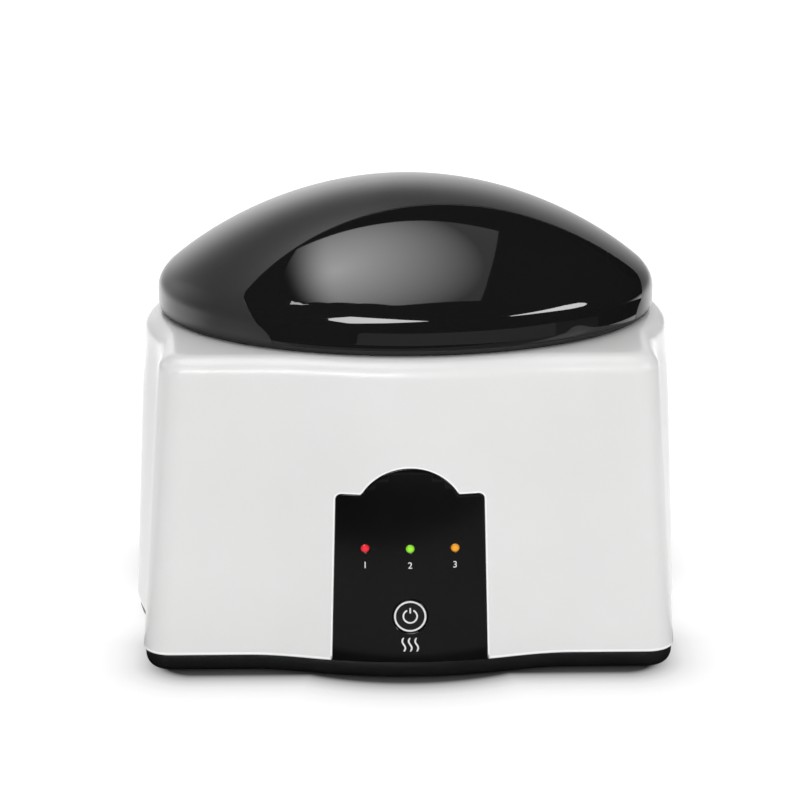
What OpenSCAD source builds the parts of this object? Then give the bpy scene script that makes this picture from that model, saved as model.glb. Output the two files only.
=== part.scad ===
// Countertop steam remover for gel nail polish.
// A white moulded body stands on a black base tray. Its plan is a box with an oval drum
// pushed through it, so the drum bulges out at the sides, the front and the back. An oval
// black cover with a glossy visor is hinged at the back and closes over the finger wells.
// Millimetres. X to the right, Y to the back, Z up, origin on the floor under the middle.

/* [Body] */
// Half width of the oval drum at its foot
drum_foot_w = 101.5; // [101:0.5:102]
// Half depth of the oval drum at its foot
drum_foot_d = 75.5; // [75:0.5:76]
// How far the drum draws in at each side between foot and crest
drum_draw_w = 5; // [4.5:0.5:5.5]
// How far the drum draws in at front and back between foot and crest
drum_draw_d = 5.5; // [5:0.5:6]
// Half width of the box at its foot
box_foot_w = 96.2; // [95.8:0.2:96.6]
// Half depth of the box at its foot
box_foot_d = 67; // [66.5:0.5:67.5]
// How far the box draws in at each side between foot and crest
box_draw_w = 7.2; // [6.8:0.2:7.6]
// How far the box draws in at front and back between foot and crest
box_draw_d = 3; // [2.5:0.5:3.5]
// Radius of the four upright corners of the box
box_corner_r = 10; // [9:0.5:11]
// Softness of the hollow crease where drum and box meet
crease_blend = 5; // [4:0.5:6]
// Height of the flat deck above the floor
deck_z = 118.5; // [118:0.5:119]
// Radius that rounds the edge of the deck
deck_edge_r = 7; // [6.5:0.5:7.5]
// Wall thickness of the white shell
shell_wall = 2.6; // [2.4:0.1:2.8]

/* [Base tray and feet] */
// Height of the lower edge of the white shell above the floor
foot_z = 8; // [7.5:0.5:8.5]
// Height of the rubber feet below the tray
foot_drop = 1; // [0.8:0.1:1.2]
// Radius of one rubber foot
foot_r = 7; // [6:0.5:8]
// Thickness of the tray floor
tray_floor = 2.5; // [2.4:0.1:2.8]
// How far the tray stands in from the shell
tray_inset = 0.8; // [0.6:0.1:1]
// Sideways reach of the rounded lower edge of the tray
tray_edge_w = 4; // [3.5:0.5:4.5]
// Number of cooling slots in each of the two vent fields
vent_count = 7; // [5:1:8]

/* [Finger deck] */
// Half width of the oval well in the deck
well_w = 78; // [77:0.5:79]
// Half depth of the oval well in the deck
well_d = 52; // [51:0.5:53]
// Distance between neighbouring finger holes
finger_pitch = 19; // [18:0.5:19.5]
// Radius of one finger hole
finger_r = 10.5; // [10:0.5:11]
// Radius of the thumb hole
thumb_r = 12; // [11:0.5:13]

/* [Cover] */
// Half width of the oval cover
cover_w = 91; // [90.5:0.5:91.5]
// Half depth of the oval cover
cover_d = 64.2; // [63.8:0.2:64.6]
// Height of the upright skirt of the cover
skirt_h = 12.2; // [11.8:0.2:12.6]
// Rise of the dome above its skirt
dome_h = 36.3; // [35.5:0.1:37]
// Fullness of the dome, 1 is a parabola
dome_power = 0.9; // [0.85:0.01:1]
// Size of the rounding between skirt and dome
cover_edge = 4; // [3.5:0.5:4.5]
// Wall thickness of the cover
cover_wall = 3.2; // [3:0.1:3.4]
// Gap between the deck and the rim of the closed cover
rim_gap = 1; // [0.8:0.1:1.2]

/* [Visor] */
// Thickness of the glossy visor let into the cover
visor_t = 1.6; // [1.4:0.1:1.8]
// Corner of the visor at the left, seen in plan
visor_left = [-58.7, -47.3];
// Corner of the visor at the right, seen in plan
visor_right = [86.3, -17.1];
// Bearing on the cover's oval where the left edge of the visor meets the rim
visor_rim_left = -121.9; // [-124:0.1:-119]
// Bearing on the cover's oval where the right edge of the visor meets the rim
visor_rim_right = -25; // [-27:0.1:-23]

/* [Hinge] */
// Distance of the hinge axis behind the middle of the body
hinge_y = 70; // [69.8:0.1:70.2]
// Height of the hinge axis
hinge_z = 124.5; // [124.4:0.1:124.8]
// Radius of the hinge pin
pin_r = 2; // [1.8:0.1:2.2]
// Radius of the hinge knuckles
knuckle_r = 4; // [3.8:0.1:4.1]
// Running clearance around the pin
pin_play = 0.06; // [0.04:0.01:0.08]
// Angle at which the stops hold the open cover
open_angle = 100; // [90:1:105]

/* [Control panel] */
// Width of the panel at its foot
panel_foot_w = 55.8; // [54:0.2:57]
// Width of the panel at its shoulders
panel_top_w = 52.8; // [52:0.2:54]
// Height of the shoulders
shoulder_z = 70.3; // [69:0.1:72]
// Height of the top of the arch
arch_z = 80.2; // [79:0.1:82]
// Half width of the arch at the shoulders
arch_half_w = 17.2; // [16:0.2:18]
// Thickness of the panel
panel_t = 1.6; // [1.4:0.1:1.8]
// Height of the row of lamps
lamp_z = 50.6; // [49:0.1:52]
// Distance between neighbouring lamps
lamp_pitch = 16; // [15:0.5:17]
// Radius of a lamp lens
lamp_r = 1.5; // [1.4:0.1:1.6]
// Height of the power button
button_z = 25.5; // [25:0.1:26]
// Radius of the power button
button_r = 6.2; // [6:0.1:6.4]
// Travel of the power button
button_travel = 1; // [0.6:0.1:1]

/* [Steam chamber and heater] */
// Half width of the tub below the finger holes
tub_w = 66; // [65:0.5:67]
// Half depth of the tub
tub_d = 40; // [39:0.5:41]
// Height of the underside of the tub
tub_z = 50; // [49.5:0.5:50.5]
// Inner radius of the metal dish at its rim
dish_r = 25; // [24:0.5:25.5]
// Radius of the heater block under the dish
heater_r = 24; // [22:0.5:24]

/* [Hidden] */

eps = 0.01;
cut = 1;
smooth = 48;

// ---- Outline of the body in plan ----

crest_z = deck_z - deck_edge_r;
edge_steps = 4;
inner_edge_steps = 2;

// Share of the way from foot to crest at height z
function rise(z) = (z - foot_z) / (crest_z - foot_z);

// Distance from the middle to a rounded box along bearing t
function box_ray(t, a, b, r) =
    let (c = abs(cos(t)), s = abs(sin(t)),
         flat = min(a / max(c, eps), b / max(s, eps)),
         q = c * (a - r) + s * (b - r))
    flat * c <= a - r || flat * s <= b - r
        ? flat
        : q + sqrt(q * q - pow(a - r, 2) - pow(b - r, 2) + r * r);

// Distance from the middle to an oval along bearing t
function oval_ray(t, a, b) = 1 / norm([cos(t) / a, sin(t) / b]);

// The larger of p and q, with the corner between them filled over the width k
function soft_max(p, q, k) = max(p, q) + pow(max(k - abs(p - q), 0), 2) / (4 * k);

// The body's outline along bearing t at height z, moved inwards by inset
function body_ray(t, z, inset) =
    let (f = max(0, min(1, rise(z))))
    soft_max(
        box_ray(t, box_foot_w - box_draw_w * f - inset, box_foot_d - box_draw_d * f - inset,
                max(box_corner_r - inset, 1)),
        oval_ray(t, drum_foot_w - drum_draw_w * f - inset, drum_foot_d - drum_draw_d * f - inset),
        crease_blend);

// Bearings of one quarter, close together at the creases and round the corner
side_crease = atan2(drum_foot_d * sqrt(1 - pow(box_foot_w / drum_foot_w, 2)), box_foot_w);
front_crease = atan2(box_foot_d, drum_foot_w * sqrt(1 - pow(box_foot_d / drum_foot_d, 2)));
corner_from = atan2(box_foot_d - box_corner_r, box_foot_w);
corner_to = atan2(box_foot_d, box_foot_w - box_corner_r);
stretches = [
    [0, side_crease - 5, 3], [side_crease - 5, side_crease + 4, 3],
    [side_crease + 4, corner_from, 2], [corner_from, corner_to, 5],
    [corner_to, front_crease - 4, 2], [front_crease - 4, front_crease + 5, 3],
    [front_crease + 5, 90, 4]
];
quarter = [for (s = stretches, i = [0:s[2] - 1]) s[0] + (s[1] - s[0]) * i / s[2]];
half = concat(quarter, [90], [for (i = [len(quarter) - 1:-1:1]) 180 - quarter[i]]);
bearings = concat(half, [for (t = half) t + 180]);

function ring_point(t, r, z) = [r * cos(t), r * sin(t), z];
function body_ring(z, inset) = [for (t = bearings) ring_point(t, body_ray(t, z, inset), z)];
function tray_ring(z, inset) = [for (t = bearings) ring_point(t, body_ray(t, foot_z, inset), z)];
function oval_ring(z, a, b) = [for (t = bearings) ring_point(t, oval_ray(t, a, b), z)];

// Closed skin over a stack of rings that have the same number of points. Seen against the
// direction of the stack each ring runs anticlockwise. A looped stack ends where it began.
// A laced end joins the first half of its ring to the second, as the edge of a bent sheet.
module skin(rings, looped = false, laced = false) {
    n = len(rings[0]);
    m = len(rings);
    last = (m - 1) * n;
    walls = [
        for (j = [0:m - (looped ? 1 : 2)], i = [0:n - 1])
            let (a = j * n + i, b = j * n + (i + 1) % n,
                 d = (j + 1) % m * n + i, c = (j + 1) % m * n + (i + 1) % n)
            each [[a, d, c], [a, c, b]]
    ];
    flat_ends = [[for (i = [0:n - 1]) i], [for (i = [n - 1:-1:0]) last + i]];
    laced_ends = [
        for (i = [0:n / 2 - 2])
            let (j = n - 1 - i)
            each [[i, i + 1, j - 1], [i, j - 1, j],
                  [last + i, last + j - 1, last + i + 1], [last + i, last + j, last + j - 1]]
    ];
    ends = looped ? [] : laced ? laced_ends : flat_ends;
    polyhedron([for (ring = rings) each ring], concat(walls, ends));
}

// Flat oval outline
module oval(a, b, sides = 64) {
    polygon([for (i = [0:sides - 1]) [a * cos(360 * i / sides), b * sin(360 * i / sides)]]);
}

// Mirrored copies left and right, or in all four corners
module left_right() {
    children();
    mirror([1, 0, 0]) children();
}
module four_corners() {
    left_right() {
        children();
        mirror([0, 1, 0]) children();
    }
}

// ---- Base tray, feet and the screws between tray and shell ----

tray_z = foot_drop;
floor_z = tray_z + tray_floor;
tray_edge_h = 5;
tray_edge_steps = 4;
lip_h = 2.5;
lip_gap = 0.5;
lip_t = 1.6;
shell_post = [82, 55];
shell_post_r = 4.5;
shell_post_top = 62;
screw_r = 1.5;
screw_hole_r = 1.7;
screw_head_r = 3;
screw_head_h = 1.2;
foot_place = [62, 47];
foot_sunk = 1.2;
vent_place = [34, -26];
vent_slot = [2.6, 24];
vent_pitch = 6.5;
heater_post = [42, 0];
board_place = [-30, 36];
board_size = [64, 40, 1.6];
board_post = [27, 15];
board_z = 12;
post_r = 3.2;
pilot_r = 1.2;

// Screw that points up, its head's upper face at z = 0
module screw(length, r = screw_r, head_r = screw_head_r, head_h = screw_head_h) {
    cylinder(h = length, r = r, $fn = smooth);
    translate([0, 0, -head_h])
        difference() {
            cylinder(h = head_h, r = head_r, $fn = smooth);
            for (a = [0, 90])
                rotate(a) translate([-head_r * 0.6, -0.35, -cut])
                    cube([head_r * 1.2, 0.7, cut + head_h * 0.5]);
        }
}

module base_tray() {
    inner = shell_wall + lip_gap;
    color("#1a1a1a")
        difference() {
            union() {
                skin(concat(
                    [for (i = [0:tray_edge_steps])
                        let (a = 90 - 90 * i / tray_edge_steps)
                        tray_ring(tray_z + tray_edge_h * (1 - sin(a)),
                                  tray_inset + tray_edge_w * (1 - cos(a)))],
                    [tray_ring(foot_z, tray_inset), tray_ring(foot_z, inner),
                     tray_ring(foot_z + lip_h, inner), tray_ring(foot_z + lip_h, inner + lip_t),
                     tray_ring(floor_z, inner + lip_t)]));
                left_right()
                    translate([heater_post[0], heater_post[1], floor_z - eps])
                        cylinder(h = bracket_z - floor_z + eps, r = post_r + 1, $fn = smooth);
                for (x = [-1, 1], y = [-1, 1])
                    translate([board_place[0] + x * board_post[0],
                               board_place[1] + y * board_post[1], floor_z - eps])
                        cylinder(h = board_z - floor_z + eps, r = post_r, $fn = smooth);
            }
            four_corners() {
                translate([foot_place[0], foot_place[1], tray_z - cut])
                    cylinder(h = cut + foot_sunk, r = foot_r, $fn = smooth);
                translate([shell_post[0], shell_post[1], tray_z - cut])
                    cylinder(h = cut + 1.4, r = screw_head_r + 0.3, $fn = smooth);
                translate([shell_post[0], shell_post[1], tray_z - cut])
                    cylinder(h = tray_floor + 2 * cut, r = screw_hole_r, $fn = smooth);
            }
            left_right()
                translate([heater_post[0], heater_post[1], bracket_z - 10])
                    cylinder(h = 10 + cut, r = pilot_r, $fn = smooth);
            for (x = [-1, 1], y = [-1, 1])
                translate([board_place[0] + x * board_post[0],
                           board_place[1] + y * board_post[1], board_z - 6])
                    cylinder(h = 6 + cut, r = pilot_r, $fn = smooth);
            left_right()
                for (i = [0:vent_count - 1])
                    translate([vent_place[0] + (i - (vent_count - 1) / 2) * vent_pitch,
                               vent_place[1], tray_z - cut])
                        linear_extrude(tray_floor + 2 * cut)
                            slot_outline(vent_slot);
        }
}

// Round-ended slot, size is [width, length]
module slot_outline(size) {
    r = size[0] / 2;
    square([size[0], size[1] - size[0]], center = true);
    for (s = [-1, 1])
        translate([0, s * (size[1] / 2 - r)]) circle(r = r, $fn = smooth);
}

module rubber_feet() {
    color("#2b2b2b")
        four_corners()
            translate([foot_place[0], foot_place[1], 0])
                rotate_extrude($fn = smooth)
                    polygon([[0, 0], [foot_r - 1, 0], [foot_r - 0.4, 0.6],
                             [foot_r - 0.15, 1.1], [foot_r - 0.15, tray_z + foot_sunk],
                             [0, tray_z + foot_sunk]]);
}

module base_screws() {
    color("silver")
        four_corners()
            translate([shell_post[0], shell_post[1], tray_z + 1.4])
                screw(12);
}

// ---- White shell ----

ledge_z = deck_z - shell_wall;
ledge_w = 8;
ledge_t = 3;
ledge_wall = 3;
deck_screw = [0.7 * (well_w - ledge_w / 2), 0.7 * (well_d - ledge_w / 2)];
rib_t = 2;
seat_back = hinge_y + 4.4;
seat_low = deck_z - 20;
seat_half_w = 43.5;
seat_fade = 12;
seat_edge_r = 1.2;
seat_steps = 3;
inlet_place = [61, 24];
inlet_flange = [26, 19];
inlet_body = [22, 13];
inlet_face = 65.4;

// Eases from 0 to 1 with a level start and end
function ease(f) = let (g = max(0, min(1, f))) g * g * (3 - 2 * g);

// Share of its full swelling that the seat of the hinge bracket has at bearing t and height z.
// It grows out of the back wall at both ends and from below, up to the edge of the deck.
function seat_share(t, z) =
    sin(t) <= 0 ? 0
    : ease((seat_half_w + seat_fade - abs(seat_back * cos(t) / sin(t))) / seat_fade)
      * ease((z - seat_low) / (crest_z - seat_low));

// Outer ring of the shell, moved inwards by inset where the seat does not swell it
function shell_ring(z, inset = 0) = [
    for (t = bearings)
        let (share = seat_share(t, z), wall = body_ray(t, z, inset),
             over = max(0, z - deck_z + seat_edge_r),
             seat = seat_back - seat_edge_r + sqrt(pow(seat_edge_r, 2) - over * over))
        ring_point(t, share == 0 ? wall : wall * (1 - share) + seat / sin(t) * share, z)
];

// Rib from a post to the middle of a wall that stands at foot and draws in by draw
module wall_rib(post, foot, draw) {
    low = foot_z + lip_h + 1;
    high = shell_post_top - 4;
    rotate([90, 0, 0])
        translate([0, 0, -rib_t / 2])
            linear_extrude(rib_t)
                polygon([[post, low], [foot - draw * rise(low) - shell_wall / 2, low],
                         [foot - draw * rise(high) - shell_wall / 2, high], [post, high]]);
}

// Upright post for a base screw, with ribs to the side wall and to the front or back wall
module shell_posts() {
    four_corners() {
        translate([shell_post[0], shell_post[1], floor_z])
            cylinder(h = shell_post_top - floor_z, r = shell_post_r, $fn = smooth);
        translate([0, shell_post[1], 0])
            wall_rib(shell_post[0], box_foot_w, box_draw_w);
        translate([shell_post[0], 0, 0])
            rotate(90) wall_rib(shell_post[1], box_foot_d, box_draw_d);
    }
}

module body_shell() {
    inner_r = deck_edge_r - shell_wall;
    color("#e8e8e6")
        difference() {
            union() {
                skin(concat(
                    [shell_ring(foot_z)],
                    [for (i = [0:seat_steps - 1])
                        shell_ring(seat_low + (crest_z - seat_low) * i / seat_steps)],
                    [for (i = [0:edge_steps])
                        let (a = 90 * i / edge_steps)
                        shell_ring(crest_z + deck_edge_r * sin(a), deck_edge_r * (1 - cos(a)))],
                    [oval_ring(deck_z, well_w, well_d), oval_ring(ledge_z, well_w, well_d),
                     oval_ring(ledge_z, well_w - ledge_w, well_d - ledge_w),
                     oval_ring(ledge_z - ledge_t, well_w - ledge_w, well_d - ledge_w),
                     oval_ring(ledge_z - ledge_t, well_w + ledge_wall, well_d + ledge_wall),
                     oval_ring(ledge_z, well_w + ledge_wall, well_d + ledge_wall)],
                    [for (i = [inner_edge_steps:-1:0])
                        let (a = 90 * i / inner_edge_steps)
                        body_ring(crest_z + inner_r * sin(a),
                                  shell_wall + inner_r * (1 - cos(a)))],
                    [body_ring(foot_z, shell_wall)]),
                    looped = true);
                shell_posts();
                board_pegs();
            }
            panel_patch(-3, panel_t + 0.01, 0.15);
            panel_window();
            translate([inlet_place[0] - inlet_flange[0] / 2 - 0.1, inlet_face,
                       inlet_place[1] - inlet_flange[1] / 2 - 0.1])
                cube([inlet_flange[0] + 0.2, 10, inlet_flange[1] + 0.2]);
            translate([inlet_place[0] - inlet_body[0] / 2 - 0.1, inlet_face - 10,
                       inlet_place[1] - inlet_body[1] / 2 - 0.1])
                cube([inlet_body[0] + 0.2, 12, inlet_body[1] + 0.2]);
            four_corners() {
                translate([shell_post[0], shell_post[1], floor_z - cut])
                    cylinder(h = 12 + cut, r = screw_r, $fn = smooth);
                translate([deck_screw[0], deck_screw[1], ledge_z - ledge_t - cut])
                    cylinder(h = ledge_t + 2 * cut, r = screw_hole_r, $fn = smooth);
            }
            left_right()
                translate([bracket_screw[0], bracket_screw[1], deck_z - 8])
                    cylinder(h = 8 + cut, r = pilot_r, $fn = smooth);
        }
}

// ---- Control panel ----

drum_lean = atan2(drum_draw_d, crest_z - foot_z);
panel_z = foot_z + 0.1;
panel_corner_r = 2.2;
arch_rise = arch_z - shoulder_z;
arch_r = (pow(arch_half_w, 2) + pow(arch_rise, 2)) / (2 * arch_rise);
arch_cols = 7;
corner_cols = 3;
collar_r = 9;
collar_depth = 6.5;
bore_r = button_r + 0.2;
board_depth = 15;
control_board_size = [54, 52, 1.6];
control_board_z = 38;
peg = [24, 22];
peg_r = 3;
window = [19.5, 14.5, 58];

// Y of the front of the drum at x and z
function drum_front(x, z) =
    let (f = rise(z))
    -(drum_foot_d - drum_draw_d * f) * sqrt(1 - pow(x / (drum_foot_w - drum_draw_w * f), 2));

// Upper edge of the panel at x, which counts from the middle at shoulder width
function panel_top(x) =
    let (w = panel_top_w / 2, r = panel_corner_r, ax = abs(x))
    ax < arch_half_w ? arch_z - arch_r + sqrt(arch_r * arch_r - x * x)
    : ax <= w - r ? shoulder_z
    : shoulder_z - r + sqrt(max(r * r - pow(ax - w + r, 2), 0));

panel_half_cols = concat(
    [for (i = [0:arch_cols - 1]) arch_half_w * i / arch_cols],
    [arch_half_w - 0.05, arch_half_w + 0.05],
    [for (i = [0:corner_cols])
        panel_top_w / 2 - panel_corner_r * (1 - sin(90 * i / corner_cols))]);
panel_cols = concat([for (i = [len(panel_half_cols) - 1:-1:1]) -panel_half_cols[i]],
                    panel_half_cols);

// Curved sheet in the outline of the panel, from depth front to depth back behind the
// drum's surface, grown by grow all round
module panel_patch(front, back, grow) {
    function edge(x, z, scale_w, depth) =
        let (px = x * scale_w * (1 + 2 * grow / panel_top_w))
        [px, drum_front(px, z) + depth, z];
    skin([
        for (x = panel_cols)
            let (low = panel_z - grow, high = panel_top(x) + grow,
                 foot = panel_foot_w / panel_top_w)
            [edge(x, low, foot, front), edge(x, low, foot, back),
             edge(x, high, 1, back), edge(x, high, 1, front)]
    ]);
}

// Places children on the panel at height z: their Z points out of the panel
module on_panel(z, x = 0) {
    translate([x, drum_front(x, z), z]) rotate([90 - drum_lean, 0, 0]) children();
}

module panel_window() {
    translate([-window[0], drum_front(0, 0) - cut, window[1]])
        cube([2 * window[0], 20, window[2] - window[1]]);
}

module control_fascia() {
    color("#101010")
        difference() {
            union() {
                panel_patch(0, panel_t, 0);
                on_panel(button_z)
                    translate([0, 0, -collar_depth])
                        cylinder(h = collar_depth - panel_t / 2, r = collar_r, $fn = smooth);
            }
            on_panel(button_z)
                translate([0, 0, -collar_depth - cut])
                    cylinder(h = collar_depth + 3 * cut, r = bore_r, $fn = smooth);
            for (i = [-1:1])
                on_panel(lamp_z, i * lamp_pitch)
                    translate([0, 0, -5])
                        cylinder(h = 8, r = lamp_r + 0.05, $fn = smooth);
        }
}

flange_t = 1.2;
flange_gap = 0.03;
stem_end = collar_depth + flange_gap + flange_t + 0.6;

module power_button() {
    color("#141414")
        on_panel(button_z)
            rotate_extrude($fn = 96)
                polygon([
                    [0, 0], [button_r - 0.4, 0], [button_r, -0.4],
                    [button_r, -collar_depth - flange_gap],
                    [button_r + 1.9, -collar_depth - flange_gap],
                    [button_r + 1.9, -collar_depth - flange_gap - flange_t],
                    [2, -collar_depth - flange_gap - flange_t],
                    [2, -stem_end], [0, -stem_end]
                ]);
}

holder_depth = 5.5;
lens_flange_t = 0.8;

// Clear lens: a stem through the panel with a domed face, and a flange on the lamp holder
module lamp(i, tint) {
    sag = drum_front(i * lamp_pitch, lamp_z) - drum_front(0, lamp_z);
    back = sag - holder_depth;
    color(tint)
        on_panel(lamp_z, i * lamp_pitch)
            rotate_extrude($fn = smooth)
                polygon(concat(
                    [[0, back], [lamp_r + 0.7, back], [lamp_r + 0.7, back + lens_flange_t],
                     [lamp_r, back + lens_flange_t]],
                    [for (i = [0:3]) [lamp_r * cos(30 * i), 0.35 * sin(30 * i) - 0.3]]));
}

module red_lamp() { lamp(-1, "#f63c46"); }
module green_lamp() { lamp(0, "#a3f943"); }
module amber_lamp() { lamp(1, "#ffab36"); }

// Places children on the front of the control board: their Z points out of the panel and
// their y counts up the board from the height z
module on_board(x = 0, z = control_board_z) {
    on_panel(control_board_z)
        translate([x, (z - control_board_z) / cos(drum_lean), -board_depth]) children();
}

module lamp_holder() {
    size = [2 * lamp_pitch + 6.4, 7];
    color("#202020")
        difference() {
            on_board(0, lamp_z)
                translate([-size[0] / 2, -size[1] / 2, 0])
                    cube([size[0], size[1], board_depth - holder_depth]);
            for (i = [-1:1])
                on_panel(lamp_z, i * lamp_pitch)
                    translate([0, 0, -30]) cylinder(h = 40, r = 2, $fn = smooth);
        }
}

module indicator_leds() {
    color("#dfe4e6")
        for (i = [-1:1])
            on_board(i * lamp_pitch, lamp_z)
                rotate_extrude($fn = smooth)
                    polygon(concat([[0, 0], [1.9, 0], [1.9, 1], [1.5, 1]],
                                   [for (a = [0:30:90]) [1.5 * cos(a), 3.8 + 1.5 * sin(a)]]));
}

module board_pegs() {
    for (x = [-1, 1], y = [-1, 1])
        on_board(x * peg[0], control_board_z + y * peg[1])
            cylinder(h = board_depth - shell_wall - 0.2, r = peg_r, $fn = smooth);
}

module control_board() {
    size = control_board_size;
    color("#2f6b3c")
        difference() {
            on_board()
                translate([-size[0] / 2, -size[1] / 2, -size[2]]) cube(size);
            for (x = [-1, 1], y = [-1, 1])
                on_board(x * peg[0], control_board_z + y * peg[1])
                    translate([0, 0, -5]) cylinder(h = 10, r = screw_hole_r, $fn = smooth);
        }
}

module control_board_screws() {
    color("silver")
        for (x = [-1, 1], y = [-1, 1])
            on_board(x * peg[0], control_board_z + y * peg[1])
                translate([0, 0, -control_board_size[2]]) screw(control_board_size[2] - 0.1);
}

module tact_switch() {
    body = [6, 6, 3.6];
    tip = board_depth - stem_end - button_travel - 0.1;
    color("#3a3a3a")
        on_board(0, button_z) {
            translate([-body[0] / 2, -body[1] / 2, 0]) cube(body);
            cylinder(h = tip, r = 1.7, $fn = smooth);
        }
}

// ---- Finger deck, steam chamber and dish ----

deck_gap = 0.4;
deck_plate = 2.2;
collar_rise = 1.6;
collar_w = 2;
finger_row_y = 12;
thumb_y = -21;
tub_wall = 2;
tub_top = ledge_z - ledge_t;
tub_floor = 2;
tub_hole_r = dish_r + 2;
seal_t = 1.2;
dish_t = 0.8;
dish_flange = 5;
dish_foot_r = 22;
heater_top = 41;
dish_rim_z = tub_z + tub_floor + seal_t;

// Row of four overlapping round holes, and one for the thumb, grown by grow
module finger_outline(grow = 0) {
    for (i = [-1.5:1.5])
        translate([i * finger_pitch, finger_row_y]) circle(r = finger_r + grow, $fn = smooth);
    translate([0, thumb_y]) circle(r = thumb_r + grow, $fn = smooth);
}

module finger_deck() {
    color("#262626")
        difference() {
            union() {
                translate([0, 0, ledge_z])
                    linear_extrude(deck_plate) oval(well_w - deck_gap, well_d - deck_gap);
                translate([0, 0, ledge_z])
                    linear_extrude(deck_plate + collar_rise) finger_outline(collar_w);
            }
            translate([0, 0, ledge_z - cut])
                linear_extrude(deck_plate + collar_rise + 2 * cut) finger_outline();
            four_corners() {
                translate([deck_screw[0], deck_screw[1], ledge_z - cut])
                    cylinder(h = deck_plate + 2 * cut, r = screw_hole_r, $fn = smooth);
                translate([deck_screw[0], deck_screw[1], ledge_z + 1])
                    cylinder(h = deck_plate, r = screw_head_r + 0.2, $fn = smooth);
            }
        }
}

module finger_deck_screws() {
    color("silver")
        four_corners()
            translate([deck_screw[0], deck_screw[1], ledge_z + 1])
                mirror([0, 0, 1]) screw(ledge_t + 4);
}

module steam_chamber() {
    color("#3c3c3c")
        difference() {
            union() {
                translate([0, 0, tub_z])
                    linear_extrude(tub_top - tub_z) oval(tub_w, tub_d);
                translate([0, 0, tub_top - 2])
                    linear_extrude(2) oval(well_w, well_d);
            }
            translate([0, 0, tub_z + tub_floor])
                linear_extrude(tub_top) oval(tub_w - tub_wall, tub_d - tub_wall);
            translate([0, 0, tub_z - cut])
                cylinder(h = tub_floor + 2 * cut, r = tub_hole_r, $fn = 96);
            four_corners()
                translate([deck_screw[0], deck_screw[1], tub_top - 2 - cut])
                    cylinder(h = 2 + 2 * cut, r = screw_r, $fn = smooth);
        }
}

module dish_seal() {
    color("#b84a3a")
        translate([0, 0, tub_z + tub_floor])
            rotate_extrude($fn = 96)
                translate([tub_hole_r, 0]) square([dish_flange - 1.2, seal_t]);
}

module evaporation_dish() {
    color("#c8c8c4")
        rotate_extrude($fn = 96)
            polygon([
                [0, heater_top], [dish_foot_r, heater_top], [dish_r, heater_top + 3],
                [dish_r + dish_t, dish_rim_z], [dish_r + dish_flange, dish_rim_z],
                [dish_r + dish_flange, dish_rim_z + dish_t + 0.4],
                [dish_r + dish_flange - dish_t, dish_rim_z + dish_t + 0.4],
                [dish_r + dish_flange - dish_t, dish_rim_z + dish_t],
                [dish_r, dish_rim_z + dish_t],
                [dish_r - dish_t, heater_top + 3 + dish_t / 2],
                [dish_foot_r - dish_t / 2, heater_top + dish_t], [0, heater_top + dish_t]
            ]);
}

// ---- Heater under the dish ----

block_h = 8;
block_z = heater_top - block_h;
element = [34, 24, 4];
element_z = block_z - element[2];
sheet_t = 0.5;
bracket_t = 1.5;
bracket_z = element_z - sheet_t - bracket_t;
bracket_w = 22;
bracket_screw_x = heater_post[0];
thermostat_r = 8;
thermostat_h = 7;
thermostat_y = -34;

module heater_block() {
    fins = 5;
    color("#b9bcc0")
        difference() {
            union() {
                translate([0, 0, block_z])
                    cylinder(h = block_h, r = heater_r, $fn = 96);
                translate([-10, thermostat_y - 10, block_z])
                    cube([20, 10 - thermostat_y - heater_r / 2, 3]);
            }
            for (i = [0:fins - 1])
                rotate(360 * (i + 0.75) / fins)
                    translate([heater_r - 3, 0, block_z - cut])
                        cylinder(h = block_h - 2 + cut, r = 1.6, $fn = smooth);
        }
}

module heater_element() {
    color("#d8d2c0")
        translate([-element[0] / 2, -element[1] / 2, element_z]) cube(element);
}

module insulating_sheet() {
    color("#c9b27a")
        translate([-element[0] / 2 - 2, -element[1] / 2 - 2, element_z - sheet_t])
            cube([element[0] + 4, element[1] + 4, sheet_t]);
}

module heater_bracket() {
    length = 2 * bracket_screw_x + 12;
    color("#9aa0a6")
        difference() {
            translate([-length / 2, -bracket_w / 2, bracket_z])
                cube([length, bracket_w, bracket_t]);
            left_right() {
                translate([bracket_screw_x, 0, bracket_z - cut])
                    cylinder(h = bracket_t + 2 * cut, r = screw_hole_r, $fn = smooth);
                translate([bracket_screw_x - 16, 0, bracket_z - cut])
                    linear_extrude(bracket_t + 2 * cut) slot_outline([4, 14]);
            }
        }
}

module heater_bracket_screws() {
    color("silver")
        left_right()
            translate([bracket_screw_x, 0, bracket_z + bracket_t])
                mirror([0, 0, 1]) screw(8, pilot_r);
}

module thermostat() {
    color("#d9d4c8")
        translate([0, thermostat_y, block_z - thermostat_h]) {
            cylinder(h = thermostat_h, r = thermostat_r, $fn = smooth);
            left_right()
                translate([3, -0.4, -6]) cube([2.5, 0.8, 6]);
        }
}

module thermal_fuse() {
    color("#e6e2da")
        translate([-9, 0, 0])
            translate([0, heater_r + 2.2, block_z + 4])
                rotate([0, 90, 0]) {
                    cylinder(h = 18, r = 2.2, $fn = smooth);
                    translate([0, 0, -6]) cylinder(h = 30, r = 0.5, $fn = smooth);
                }
}

// ---- Power board and its parts ----

board_top = board_z + board_size[2];
relay_size = [19, 15.5, 15.5];
relay_place = [-50, 36];
capacitor_r = 5;
capacitor_h = 17;
capacitor_place = [-27, 44];
terminal_size = [20, 8, 10];
terminal_place = [-13, 32];
terminal_pocket = 3;

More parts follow.
